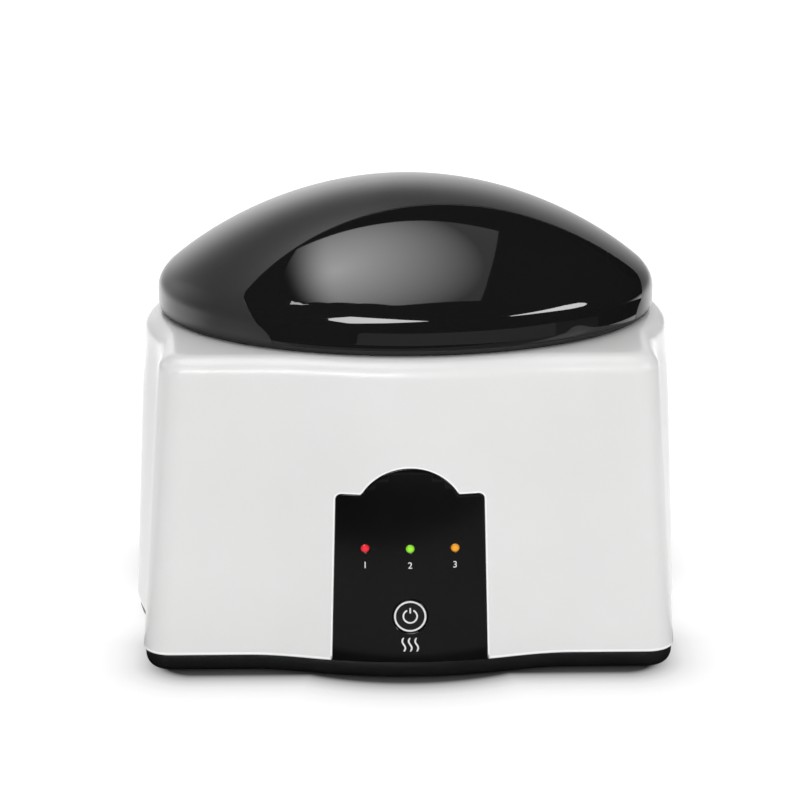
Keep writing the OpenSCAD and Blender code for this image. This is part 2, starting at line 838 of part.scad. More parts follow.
module power_board() {
    color("#2f6b3c")
        difference() {
            translate([board_place[0] - board_size[0] / 2, board_place[1] - board_size[1] / 2,
                       board_z])
                cube(board_size);
            for (x = [-1, 1], y = [-1, 1])
                translate([board_place[0] + x * board_post[0],
                           board_place[1] + y * board_post[1], board_z - cut])
                    cylinder(h = board_size[2] + 2 * cut, r = screw_hole_r, $fn = smooth);
        }
}

module power_board_screws() {
    color("silver")
        for (x = [-1, 1], y = [-1, 1])
            translate([board_place[0] + x * board_post[0], board_place[1] + y * board_post[1],
                       board_top])
                mirror([0, 0, 1]) screw(7, pilot_r, 2.6);
}

module relay() {
    color("#2456a4")
        translate([relay_place[0] - relay_size[0] / 2, relay_place[1] - relay_size[1] / 2,
                   board_top])
            cube(relay_size);
}

module smoothing_capacitor() {
    color("#222a55")
        translate([capacitor_place[0], capacitor_place[1], board_top])
            rotate_extrude($fn = smooth)
                polygon([[0, 0], [capacitor_r, 0], [capacitor_r, 1.4], [capacitor_r - 0.4, 1.9],
                         [capacitor_r, 2.4], [capacitor_r, capacitor_h - 0.6],
                         [capacitor_r - 0.6, capacitor_h], [0, capacitor_h]]);
}

module terminal_block() {
    ways = 4;
    pitch = terminal_size[0] / ways;
    color("#3f7f4a")
        translate([terminal_place[0] - terminal_size[0] / 2,
                   terminal_place[1] - terminal_size[1] / 2, board_top])
            difference() {
                cube(terminal_size);
                for (i = [0:ways - 1]) {
                    translate([(i + 0.5) * pitch, terminal_size[1] / 2, 5])
                        cylinder(h = terminal_size[2], r = 1.7, $fn = smooth);
                    translate([(i + 0.5) * pitch - 1.5, -cut, 1.2])
                        cube([3, terminal_pocket + cut, 3]);
                }
            }
}

// ---- Mains inlet ----

socket_r = 4;
socket_pitch = 8.6;
socket_depth = 11;
socket_pin_r = 1.2;
inlet_body_depth = 18;
inlet_proud = 0.9;
pin_recess = 1.5;
pin_length = inlet_body_depth + 4;

module power_inlet() {
    color("#181818")
        translate([inlet_place[0], inlet_face + inlet_proud, inlet_place[1]])
            rotate([90, 0, 0])
                difference() {
                    union() {
                        translate([-inlet_flange[0] / 2, -inlet_flange[1] / 2, 0])
                            cube([inlet_flange[0], inlet_flange[1], inlet_proud]);
                        translate([-inlet_body[0] / 2, -inlet_body[1] / 2, 0])
                            cube([inlet_body[0], inlet_body[1], inlet_body_depth]);
                    }
                    translate([0, 0, -cut])
                        linear_extrude(socket_depth + cut) {
                            for (s = [-1, 1])
                                translate([s * socket_pitch / 2, 0])
                                    circle(r = socket_r, $fn = smooth);
                            square([socket_pitch, socket_r * 1.5], center = true);
                        }
                    for (s = [-1, 1])
                        translate([s * socket_pitch / 2, 0, -cut])
                            cylinder(h = inlet_body_depth + 2 * cut, r = socket_pin_r,
                                     $fn = smooth);
                }
}

module inlet_pins() {
    color("#c9b36a")
        for (s = [-1, 1])
            translate([inlet_place[0] + s * socket_pitch / 2,
                       inlet_face + inlet_proud - pin_recess, inlet_place[1]])
                rotate([90, 0, 0])
                    cylinder(h = pin_length, r = socket_pin_r, $fn = smooth);
}

// ---- Wires, held inside all the way ----

wire_r = 1;
wire_sides = 8;

// Ring of a tube of radius r at point p that points along d
function wire_ring(p, d, r) =
    let (w = d / norm(d),
         side = cross(w, abs(w[2]) > 0.9 ? [1, 0, 0] : [0, 0, 1]),
         u = side / norm(side), v = cross(w, u))
    [for (i = [0:wire_sides - 1])
        let (a = 360 * i / wire_sides) p + r * (cos(a) * u + sin(a) * v)];

// Cubic curve from p to q that leaves along a and arrives along b
function curve(p, a, q, b, f) =
    pow(1 - f, 3) * p + 3 * pow(1 - f, 2) * f * (p + a) + 3 * (1 - f) * f * f * (q - b)
    + pow(f, 3) * q;

// Tube along such a curve, with a straight tail
module wire(p, a, q, b, steps = 12, r = wire_r, tail = 0.5) {
    points = [for (i = [0:steps]) curve(p, a, q, b, i / steps)];
    skin(concat(
        [for (i = [0:steps])
            wire_ring(points[i], i == 0 ? a : i == steps ? b : points[i + 1] - points[i - 1], r)],
        [wire_ring(q + tail * b / norm(b), b, r)]));
}

// Middle of the mouth of the terminal block's way i
function terminal_way(i) =
    [terminal_place[0] + (i - 1.5) * terminal_size[0] / 4,
     terminal_place[1] - terminal_size[1] / 2, board_top + 2.7];

// The wire of the outer pin takes the wider loop to the farther way
module mains_wires() {
    color("#7a4a2a")
        for (s = [-1, 1])
            wire([inlet_place[0] + s * socket_pitch / 2,
                  inlet_face + inlet_proud - pin_recess - pin_length, inlet_place[1]],
                 [0, -14 - 5 * s, 0], terminal_way(s > 0 ? 2 : 3), [0, 14 + 6 * s, 0],
                 tail = terminal_pocket);
}

module heater_wires() {
    color("#c23b2e")
        for (i = [0, 1])
            wire([i * 8 - 8, element[1] / 2, element_z + element[2] / 2], [0, 6, 0],
                 terminal_way(i), [0, 8, 0], tail = terminal_pocket);
}

// Flat lead from the foot of the control board to the edge of the power board
module signal_cable() {
    up = -20;
    behind = board_depth + control_board_size[2];
    start = [-20, drum_front(0, control_board_z) + up * sin(drum_lean)
                  + behind * cos(drum_lean),
             control_board_z + up * cos(drum_lean) - behind * sin(drum_lean)];
    color("#d9d9d9")
        wire(start, 22 * [0, cos(drum_lean), -sin(drum_lean)],
             [board_place[0] - board_size[0] / 2 - 0.5, board_place[1] - 12, board_z + 0.9],
             [26, 0, 0], 14, 1.4);
}

// ---- Cover ----

rim_z = deck_z + rim_gap;
skirt_z = rim_z + skirt_h;
cover_cols = 64;
dome_rows = 7;
edge_rows = 3;
crown = 0.06;
edge_s = 1 - cover_edge / cover_w;

function dome_z(s) = skirt_z + dome_h * pow(1 - s * s, dome_power);

// Rounding between skirt and dome, f runs from 0 on the skirt to 1 on the dome
function edge_row(f) =
    let (s = pow(1 - f, 2) + 2 * f * (1 - f) + f * f * edge_s,
         z = pow(1 - f, 2) * (skirt_z - cover_edge) + 2 * f * (1 - f) * skirt_z
             + f * f * dome_z(edge_s))
    [s, z, f];

// Rows of the cover as [scale of the oval, height, share of the wall taken off the height]
cover_rows = concat(
    [[1, rim_z, 0]],
    [for (i = [0:edge_rows]) edge_row(i / edge_rows)],
    [for (i = [1:dome_rows])
        let (s = edge_s + (crown - edge_s) * i / dome_rows) [s, dome_z(s), 1]]);

// Point of the cover at bearing t on a row, at depth under the outer face
function cover_point(t, row, depth) =
    [(cover_w - depth) * row[0] * cos(t), (cover_d - depth) * row[0] * sin(t),
     row[1] - depth * row[2]];

function cover_ring(row, depth) =
    [for (i = [0:cover_cols - 1]) cover_point(360 * i / cover_cols, row, depth)];

// The visor's upper edge in plan is one cubic curve between its corners
visor_pull_left = [-33, -27];
visor_pull_right = [25, -16];
function visor_arch(f) =
    pow(1 - f, 3) * visor_left + 3 * pow(1 - f, 2) * f * visor_pull_left
    + 3 * (1 - f) * f * f * visor_pull_right + pow(f, 3) * visor_right;

visor_cols = 28;
visor_rows = 12;
skirt_share = 0.28;
edge_share = 0.42;

// Row of the cover a share q of the way from the rim to the top
function cover_row(q) =
    q <= skirt_share ? [1, rim_z + (skirt_z - cover_edge - rim_z) * q / skirt_share, 0]
    : q <= edge_share ? edge_row((q - skirt_share) / (edge_share - skirt_share))
    : let (s = edge_s * (1 - (q - edge_share) / (1 - edge_share))) [s, dome_z(s), 1];

// Share of the way up at which the oval has the scale s
function share_of(s) =
    s >= edge_s ? skirt_share + (edge_share - skirt_share) * sqrt((1 - s) / (1 - edge_s))
    : edge_share + (1 - edge_share) * (1 - s / edge_s);

function visor_slope(f) =
    3 * pow(1 - f, 2) * (visor_pull_left - visor_left)
    + 6 * (1 - f) * f * (visor_pull_right - visor_pull_left)
    + 3 * f * f * (visor_right - visor_pull_right);

// The arch moved outwards by grow, and lengthened by grow at both corners
function grown_arch(f, grow) =
    let (along = visor_slope(f) / norm(visor_slope(f)))
    visor_arch(f) + grow * [-along[1], along[0]] + grow * (2 * f - 1) * along;

function bearing_of(p) = atan2(p[1] / cover_d, p[0] / cover_w);
function scale_of(p) = norm([p[0] / cover_w, p[1] / cover_d]);

// Column f of the visor: from the rim to the arch at depth low, and back at depth high.
// Below the skirt's top a column leans from its place on the arch to its place on the rim.
function visor_column(f, low, high, grow) =
    let (arch = grown_arch(f, grow),
         top_t = bearing_of(arch),
         top_q = share_of(min(scale_of(arch), 0.995)),
         left_t = bearing_of(grown_arch(0, grow)),
         right_t = bearing_of(grown_arch(1, grow)),
         across = (top_t - left_t) / (right_t - left_t),
         widen = grow * 360 / (PI * (cover_w + cover_d)),
         rim_left = visor_rim_left - widen,
         rim_right = visor_rim_right + widen,
         rim_t = rim_left + (rim_right - rim_left) * across,
         rows = [for (j = [0:visor_rows])
             let (q = top_q * j / visor_rows, lean = min(1, q / skirt_share),
                  row = cover_row(q))
             [rim_t + (top_t - rim_t) * lean,
              j == 0 ? [row[0], row[1] - 5 * grow, row[2]] : row]])
    concat([for (j = [0:visor_rows]) cover_point(rows[j][0], rows[j][1], low)],
           [for (j = [visor_rows:-1:0]) cover_point(rows[j][0], rows[j][1], high)]);

// Sheet in the outline of the visor between two depths, grown by grow all round
module visor_sheet(low, high, grow) {
    skin([for (i = [0:visor_cols]) visor_column(i / visor_cols, low, high, grow)],
         laced = true);
}

post_place = 0.9 * [cover_w - cover_wall, cover_d - cover_wall] * 0.7071;
liner_z = 123.6;
liner_t = 2;
liner_gap = 0.4;
liner_rise = 17;
arm_x = [13.2, 24.2];
arm_gap = 0.3;

module cover_shell() {
    color("#1c1c1c")
        difference() {
            union() {
                skin(concat(
                    [for (i = [len(cover_rows) - 1:-1:0]) cover_ring(cover_rows[i], cover_wall)],
                    [for (row = cover_rows) cover_ring(row, 0)]));
                four_corners()
                    translate([post_place[0], post_place[1], liner_z + liner_t])
                        cylinder(h = 11.5, r = 3.5, $fn = smooth);
            }
            visor_sheet(visor_t + 0.02, -0.6, 0.15);
            left_right()
                translate([arm_x[0] - arm_gap, cover_d - 14, rim_z - cut])
                    cube([arm_x[1] - arm_x[0] + 2 * arm_gap, 20,
                          liner_z - rim_z + cut + arm_gap]);
            four_corners()
                translate([post_place[0], post_place[1], liner_z])
                    cylinder(h = 8, r = pilot_r, $fn = smooth);
        }
}

module cover_visor() {
    color("#080808") visor_sheet(visor_t, 0, 0);
}

// Inner pan of the cover: a flat rim that rises to a shallow hollow
liner_rows = [[1, 0], [0.82, 0], [0.78, 0.05], [0.66, 0.42], [0.5, 0.75], [0.3, 0.94],
              [0.08, 1]];

function liner_ring(row, lift) =
    [for (i = [0:cover_cols - 1])
        let (t = 360 * i / cover_cols, edge = cover_wall + liner_gap)
        [(cover_w - edge) * row[0] * cos(t), (cover_d - edge) * row[0] * sin(t),
         liner_z + row[1] * liner_rise + lift]];

module cover_liner() {
    color("#2a2a2a")
        difference() {
            skin(concat(
                [for (i = [len(liner_rows) - 1:-1:0]) liner_ring(liner_rows[i], 0)],
                [for (row = liner_rows) liner_ring(row, liner_t)]));
            four_corners()
                translate([post_place[0], post_place[1], liner_z - cut])
                    cylinder(h = liner_t + 2 * cut, r = screw_hole_r, $fn = smooth);
            left_right()
                for (y = arm_screws)
                    translate([(arm_x[0] + arm_x[1]) / 2, y, liner_z - cut])
                        cylinder(h = liner_t + 2 * cut, r = pilot_r, $fn = smooth);
        }
}

module liner_screws() {
    color("silver")
        four_corners()
            translate([post_place[0], post_place[1], liner_z])
                screw(7, pilot_r, 2.6, 1);
}

bumper_place = [47, 45.6];
bumper_r = 3;

module cover_bumpers() {
    color("#303030")
        left_right()
            translate([bumper_place[0], -bumper_place[1], deck_z + 0.1])
                rotate_extrude($fn = smooth)
                    polygon([[0, 0], [bumper_r - 0.8, 0], [bumper_r, 0.8],
                             [bumper_r, liner_z - deck_z - 0.1], [0, liner_z - deck_z - 0.1]]);
}

// ---- Hinge ----

arm_t = 2.4;
arm_front = 46;
arm_screws = [50, 57];
bracket_plate = 1.5;
bracket_front = 65.3;
bracket_screw = [36, 70];
bracket_half_w = seat_half_w - 4;
outer_knuckle = [24.8, 31];
knuckle_gap = 0.5;
stop_gap = 0.12;
stop_inset = 0.6;
stop_reach = hinge_z - deck_z - bracket_plate - stop_gap;

// Stretch of hinge barrel between two places along X
module barrel(from, to, r) {
    translate([from, hinge_y, hinge_z]) rotate([0, 90, 0])
        cylinder(h = to - from, r = r, $fn = smooth);
}

// Arms from the liner to the hinge. The heel on each barrel stands up behind the axis and
// comes down on the plate of the bracket when the cover is open.
module hinge_arms() {
    color("#242424")
        left_right()
            difference() {
                union() {
                    barrel(arm_x[0], arm_x[1], knuckle_r);
                    translate([arm_x[0] + stop_inset, hinge_y, hinge_z])
                        rotate([open_angle, 0, 0])
                            translate([0, 0, -stop_reach])
                                cube([arm_x[1] - arm_x[0] - 2 * stop_inset, stop_reach,
                                      stop_reach]);
                    translate([arm_x[0], arm_front, liner_z - arm_t])
                        cube([arm_x[1] - arm_x[0], hinge_y - arm_front, arm_t]);
                }
                barrel(arm_x[0] - cut, arm_x[1] + cut, pin_r + pin_play);
                for (y = arm_screws)
                    translate([(arm_x[0] + arm_x[1]) / 2, y, liner_z - arm_t - cut])
                        cylinder(h = arm_t + 2 * cut, r = 1.3, $fn = smooth);
            }
}

module hinge_arm_screws() {
    color("silver")
        left_right()
            for (y = arm_screws)
                translate([(arm_x[0] + arm_x[1]) / 2, y, liner_z - arm_t])
                    screw(arm_t + 3, pilot_r, 2.2, 0.8);
}

// One knuckle of the bracket with the web that carries it
module bracket_knuckle(from, to) {
    barrel(from, to, knuckle_r);
    translate([from, hinge_y - 3, deck_z + bracket_plate - eps])
        cube([to - from, 6, hinge_z - deck_z - bracket_plate]);
}

module hinge_bracket() {
    color("#242424")
        difference() {
            union() {
                translate([-bracket_half_w, bracket_front, deck_z])
                    cube([2 * bracket_half_w, seat_back - bracket_front, bracket_plate]);
                bracket_knuckle(-arm_x[0] + knuckle_gap, arm_x[0] - knuckle_gap);
                left_right() bracket_knuckle(outer_knuckle[0], outer_knuckle[1]);
            }
            barrel(-outer_knuckle[1] - cut, outer_knuckle[1] + cut, pin_r + 0.01);
            left_right()
                translate([bracket_screw[0], bracket_screw[1], deck_z - cut])
                    cylinder(h = bracket_plate + 2 * cut, r = screw_hole_r, $fn = smooth);
        }
}

module hinge_bracket_screws() {
    color("silver")
        left_right()
            translate([bracket_screw[0], bracket_screw[1], deck_z + bracket_plate])
                mirror([0, 0, 1]) screw(7, pilot_r);
}

module hinge_pin() {
    color("silver")
        barrel(-outer_knuckle[1] - 0.5, outer_knuckle[1] + 0.5, pin_r);
}

body_shell();
base_tray();
rubber_feet();
base_screws();
control_fascia();
power_button();
red_lamp();
green_lamp();
amber_lamp();
lamp_holder();
indicator_leds();
control_board();
control_board_screws();
tact_switch();
finger_deck();
finger_deck_screws();
steam_chamber();
evaporation_dish();
dish_seal();
heater_block();
heater_element();
insulating_sheet();
heater_bracket();
heater_bracket_screws();
thermostat();
thermal_fuse();
power_board();
power_board_screws();
relay();
smoothing_capacitor();
terminal_block();
power_inlet();
inlet_pins();
mains_wires();
heater_wires();
signal_cable();
cover_shell();
cover_visor();
cover_liner();
liner_screws();
cover_bumpers();
hinge_arms();
hinge_arm_screws();
hinge_bracket();
hinge_bracket_screws();
hinge_pin();
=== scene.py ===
import math

import bmesh
import bpy
import numpy as np
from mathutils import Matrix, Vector


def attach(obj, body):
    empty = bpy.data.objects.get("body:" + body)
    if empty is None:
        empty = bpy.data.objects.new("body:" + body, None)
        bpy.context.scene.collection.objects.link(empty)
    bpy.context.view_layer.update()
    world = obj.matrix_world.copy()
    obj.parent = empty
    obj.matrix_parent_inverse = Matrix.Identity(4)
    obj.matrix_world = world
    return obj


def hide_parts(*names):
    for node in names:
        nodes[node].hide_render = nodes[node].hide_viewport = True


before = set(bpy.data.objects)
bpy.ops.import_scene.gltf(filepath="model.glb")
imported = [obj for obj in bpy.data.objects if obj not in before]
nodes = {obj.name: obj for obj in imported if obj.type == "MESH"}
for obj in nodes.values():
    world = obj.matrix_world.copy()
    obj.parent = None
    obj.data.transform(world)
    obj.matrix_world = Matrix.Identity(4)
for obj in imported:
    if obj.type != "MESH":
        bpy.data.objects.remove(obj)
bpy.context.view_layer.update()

MM = 0.001
ROOT, COVER, BUTTON = "housing", "cover", "button"

# ---------------------------------------------------------------- sizes, millimetres
DECK_Z, FOOT_Z, EDGE_R = 118.5, 8.0, 7.0
CREST_Z = DECK_Z - EDGE_R
BOX_FOOT, BOX_DRAW, CORNER_R, MERGE = (96.2, 67.0), (7.2, 3.0), 10.0, 5.0
DRUM_FOOT, DRUM_DRAW = (101.5, 75.5), (5.0, 5.5)
SEAT_BACK, SEAT_LOW, SEAT_HALF, SEAT_FADE, SEAT_EDGE_R = 74.4, DECK_Z - 20, 43.5, 12.0, 1.2
WALL = 2.6
LEDGE_Z, LEDGE_W, LEDGE_T, LEDGE_OUT = DECK_Z - WALL, 8.0, 3.0, 3
WELL = (78.0, 52.0)
RIM_Z = DECK_Z + 1.0
SKIRT_Z = RIM_Z + 12.2
COVER_A = (91.0, 64.2)
COVER_WALL, COVER_EDGE = 3.2, 4.0
COVER_FOOT = (1.8, 4.0)
SKIRT_H = SKIRT_Z - COVER_EDGE - RIM_Z
EDGE_S = 1 - COVER_EDGE / COVER_A[0]
LINER_Z, LINER_T, LINER_RISE = 123.6, 2.0, 17.0
ARM_POCKET_X, ARM_POCKET_Y = (12.9, 24.5), (50.2, 70.2)
VISOR_T, VISOR_LOW, VISOR_EDGE_R, VISOR_SIZE = 1.6, 1.8, 0.35, (150.0, 52.0)
VISOR_RIM = (-121.9, -25)
LEAN = math.atan2(5.5, CREST_Z - FOOT_Z)
BUTTON_Z, BUTTON_R, BORE_R = 25.5, 6.2, 6.4
LAMP_Z, LAMP_PITCH, LAMP_R = 50.6, 16.0, 1.5
NUMERAL_Z, NUMERAL_H = 44.4, 3.4
PANEL_T, PANEL_GAP = 1.6, 0.45
FINE_R = 0.5
INLET_X, INLET_Z = 61, 24
FOOT_XY, SCREW_XY, FOOT_R, SCREW_R = (62, 47), (82, 55), 7, 3.3

# lamp, its place beside the middle one, and its colour
LAMPS = (("red", -1, (0.92, 0.036, 0.05)), ("green", 0, (0.34, 0.92, 0.045)), ("amber", 1, (1.0, 0.4, 0.03)))


# ---------------------------------------------------------------- mesh helpers
def new_object(name, verts, faces, body, angle=35.0):
    """Mesh object from millimetre points, smooth but for edges sharper than angle."""
    mesh = bpy.data.meshes.new(name)
    mesh.from_pydata([tuple(v * MM for v in p) for p in verts], [], faces)
    return dress_mesh(name, mesh, body, angle)


def dress_mesh(name, mesh, body, angle=35.0):
    bm = bmesh.new()
    bm.from_mesh(mesh)
    bmesh.ops.remove_doubles(bm, verts=bm.verts, dist=1e-7)
    bmesh.ops.recalc_face_normals(bm, faces=bm.faces)
    bm.to_mesh(mesh)
    bm.free()
    obj = bpy.data.objects.new(name, mesh)
    bpy.context.scene.collection.objects.link(obj)
    smooth(obj, angle)
    if body:
        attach(obj, body)
    return obj


def smooth(obj, angle):
    for poly in obj.data.polygons:
        poly.use_smooth = True
    obj.data.set_sharp_from_angle(angle=math.radians(angle))


def loft(rings, looped=False):
    """Points and faces of a skin over closed rings, looped or closed by a fan at each end."""
    n, m = len(rings[0]), len(rings)
    verts = [tuple(p) for ring in rings for p in ring]
    faces = []
    for j in range(m if looped else m - 1):
        k = (j + 1) % m
        for i in range(n):
            i2 = (i + 1) % n
            faces.append((j * n + i, j * n + i2, k * n + i2, k * n + i))
    if not looped:
        for base, ring in ((0, rings[0]), ((m - 1) * n, rings[-1])):
            verts.append(tuple(np.mean(np.array(ring), axis=0)))
            c = len(verts) - 1
            faces += [(base + i, base + (i + 1) % n, c) for i in range(n)]
    return verts, faces


def revolve(profile, steps, place):
    """Closed solid turned about Z from a profile of (r, z) that begins and ends on the axis."""
    verts, faces = [], []
    inner = [p for p in profile if p[0] > 1e-6]
    for r, z in inner:
        for i in range(steps):
            a = 2 * math.pi * i / steps
            verts.append(place((r * math.cos(a), r * math.sin(a), z)))
    m = len(inner)
    for j in range(m - 1):
        for i in range(steps):
            i2 = (i + 1) % steps
            faces.append((j * steps + i, j * steps + i2, (j + 1) * steps + i2, (j + 1) * steps + i))
    for z, j in ((profile[0][1], 0), (profile[-1][1], m - 1)):
        verts.append(place((0.0, 0.0, z)))
        c = len(verts) - 1
        faces += [(j * steps + i, j * steps + (i + 1) % steps, c) for i in range(steps)]
    return verts, faces


def revolve_ring(r0, r1, z0, z1, place):
    """Flat ring of a rectangular section turned about Z."""
    rings = []
    for r, z in ((r0, z0), (r1, z0), (r1, z1), (r0, z1)):
        rings.append([place((r * math.cos(a), r * math.sin(a), z))
                      for a in np.linspace(0, 2 * math.pi, 96, endpoint=False)])
    return loft(rings, looped=True)


def prism(outline, z0, z1, place):
    n = len(outline)
    verts = [place((x, y, z)) for z in (z0, z1) for x, y in outline]
    faces = [(i, (i + 1) % n, n + (i + 1) % n, n + i) for i in range(n)]
    faces += [tuple(reversed(range(n))), tuple(range(n, 2 * n))]
    return verts, faces


def join_parts(parts):
    """One list of points and faces from several."""
    verts, faces = [], []
    for v, f in parts:
        base = len(verts)
        verts += [tuple(p) for p in v]
        faces += [tuple(i + base for i in face) for face in f]
    return verts, faces


def cut_away(obj, cutters, angle=35.0):
    """Takes the cutters' solids out of obj and deletes them."""
    tool = new_object(obj.name + "_cut", *join_parts(cutters), None)
    mod = obj.modifiers.new("cut", "BOOLEAN")
    mod.operation, mod.object, mod.solver = "DIFFERENCE", tool, "EXACT"
    mod.use_self = True
    deps = bpy.context.evaluated_depsgraph_get()
    mesh = bpy.data.meshes.new_from_object(obj.evaluated_get(deps))
    old = obj.data
    obj.modifiers.clear()
    obj.data = mesh
    mesh.name = old.name
    bpy.data.meshes.remove(old)
    bpy.data.objects.remove(tool)
    smooth(obj, angle)


def box_solid(lo, hi):
    x, y, z = zip(lo, hi)
    verts = [(x[i], y[j], z[k]) for i in (0, 1) for j in (0, 1) for k in (0, 1)]
    faces = [(0, 1, 3, 2), (4, 6, 7, 5), (0, 4, 5, 1), (2, 3, 7, 6), (0, 2, 6, 4), (1, 5, 7, 3)]
    return verts, faces


def rod(x, y, z0, z1, r):
    return revolve([(0, z0), (r, z0), (r, z1), (0, z1)], 64, lambda p: (p[0] + x, p[1] + y, p[2]))


# ---------------------------------------------------------------- outline of the body
def rise(z):
    return np.clip((z - FOOT_Z) / (CREST_Z - FOOT_Z), 0, 1)


def half_sizes(foot, draw, z, inset=0.0):
    """Half width and half depth of the rounded box or the oval drum at a height."""
    return [a - d * rise(z) - inset for a, d in zip(foot, draw)]


def oval_ray(t, a, b):
    return 1 / np.hypot(np.cos(t) / a, np.sin(t) / b)


def body_ray(t, z, inset):
    """Distance from the middle to the wall: a rounded box and an oval drum, blended."""
    a, b = half_sizes(BOX_FOOT, BOX_DRAW, z, inset)
    r = max(CORNER_R - inset, 1)
    c, s = np.abs(np.cos(t)), np.abs(np.sin(t))
    flat = np.minimum(a / np.maximum(c, 1e-9), b / np.maximum(s, 1e-9))
    q = c * (a - r) + s * (b - r)
    corner = q + np.sqrt(np.maximum(q * q - (a - r) ** 2 - (b - r) ** 2 + r * r, 0))
    box = np.where((flat * c <= a - r) | (flat * s <= b - r), flat, corner)
    oval = oval_ray(t, *half_sizes(DRUM_FOOT, DRUM_DRAW, z, inset))
    blend = np.maximum(MERGE - np.abs(box - oval), 0) ** 2 / (4 * MERGE)
    return np.maximum(box, oval) + blend


def ease(f):
    g = np.clip(f, 0, 1)
    return g * g * (3 - 2 * g)


def seat_share(t, z):
    """How far the wall has swollen into the hinge seat at a bearing and height."""
    s = np.maximum(np.sin(t), 1e-9)
    across = ease((SEAT_HALF + SEAT_FADE - np.abs(SEAT_BACK * np.cos(t) / s)) / SEAT_FADE)
    return np.where(np.sin(t) > 0, across * ease((z - SEAT_LOW) / (CREST_Z - SEAT_LOW)), 0)


def even_bearings(count):
    """Bearings that divide the body's outline at half height into equal lengths."""
    t = np.linspace(0, 2 * math.pi, 7201)
    r = body_ray(t, 60.0, 0)
    x, y = r * np.cos(t), r * np.sin(t)
    s = np.concatenate([[0], np.cumsum(np.hypot(np.diff(x), np.diff(y)))])
    return np.interp(np.arange(count) / count * s[-1], s, t)


T = even_bearings(640)


def polar_ring(t, r, z):
    """Points at height z, at the bearings t and the distances r from the middle."""
    return list(zip(r * np.cos(t), r * np.sin(t), np.full(len(t), float(z))))


def shell_ring(z, inset=0.0):
    """Ring of the housing's outer wall, swollen at the back into the hinge seat."""
    share = seat_share(T, z)
    over = max(0, z - DECK_Z + SEAT_EDGE_R)
    seat = SEAT_BACK - SEAT_EDGE_R + math.sqrt(max(SEAT_EDGE_R ** 2 - over * over, 0))
    r = body_ray(T, z, inset) * (1 - share) + seat / np.maximum(np.sin(T), 1e-9) * share
    return polar_ring(T, r, z)


def body_ring(z, inset, z_shape=None):
    """Ring of the body's wall without the seat, its outline taken at z or at z_shape."""
    return polar_ring(T, body_ray(T, z if z_shape is None else z_shape, inset), z)


def oval_ring(z, a, b):
    return polar_ring(T, oval_ray(T, a, b), z)


def quarter(n):
    return [math.pi / 2 * i / n for i in range(n + 1)]


def drum_front(x, z):
    """Y of the drum's front wall."""
    a, b = half_sizes(DRUM_FOOT, DRUM_DRAW, z)
    return -b * np.sqrt(1 - (x / a) ** 2)


def on_panel(z, x=0.0):
    """Maps a point in the panel's own axes (right, up, out) to the part."""
    y0 = float(drum_front(x, z))
    c, s = math.cos(LEAN), math.sin(LEAN)
    return lambda p: (x + p[0], y0 + p[1] * s - p[2] * c, z + p[1] * c + p[2] * s)


# ---------------------------------------------------------------- housing
def build_housing():
    rings = [body_ring(FOOT_Z, FINE_R)]
    rings += [body_ring(FOOT_Z + FINE_R * (1 - math.cos(a)), FINE_R * (1 - math.sin(a)))
              for a in quarter(4)]
    rings += [shell_ring(z) for z in np.linspace(FOOT_Z + 3, SEAT_LOW, 22)]
    rings += [shell_ring(z) for z in np.linspace(SEAT_LOW, CREST_Z, 14)[1:]]
    rings += [shell_ring(CREST_Z + EDGE_R * math.sin(a), EDGE_R * (1 - math.cos(a)))
              for a in quarter(20)[1:]]
    well = [(DECK_Z, FINE_R)]
    well += [(DECK_Z - FINE_R * (1 - math.cos(a)), FINE_R * (1 - math.sin(a))) for a in quarter(4)]
    well += [(LEDGE_Z, 0), (LEDGE_Z, -LEDGE_W), (LEDGE_Z - LEDGE_T, -LEDGE_W),
             (LEDGE_Z - LEDGE_T, LEDGE_OUT), (LEDGE_Z, LEDGE_OUT)]
    rings += [oval_ring(z, WELL[0] + grow, WELL[1] + grow) for z, grow in well]
    inner_r = EDGE_R - WALL
    rings += [body_ring(CREST_Z + inner_r * math.sin(a), WALL + inner_r * (1 - math.cos(a)), CREST_Z)
              for a in reversed(quarter(3))]
    rings += [body_ring(z, WALL) for z in (80, 50, 25, FOOT_Z)]
    shell = new_object("housing_shell", *loft(rings, looped=True), ROOT)
    # seat of the panel, window behind it, and the inlet's socket in two steps
    cutters = [bent_plate(panel_outline(PANEL_GAP, 2), -4, PANEL_T + 0.01),
               box_solid((-19.5, -76.5, 14.5), (19.5, -56, 58))]
    for half_x, half_z, y0, y1 in ((13.1, 9.6, 65.4, 76), (11.1, 6.6, 55.4, 66)):
        cutters.append(box_solid((INLET_X - half_x, y0, INLET_Z - half_z),
                                 (INLET_X + half_x, y1, INLET_Z + half_z)))
    cut_away(shell, cutters)
    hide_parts("body_shell")
    return shell


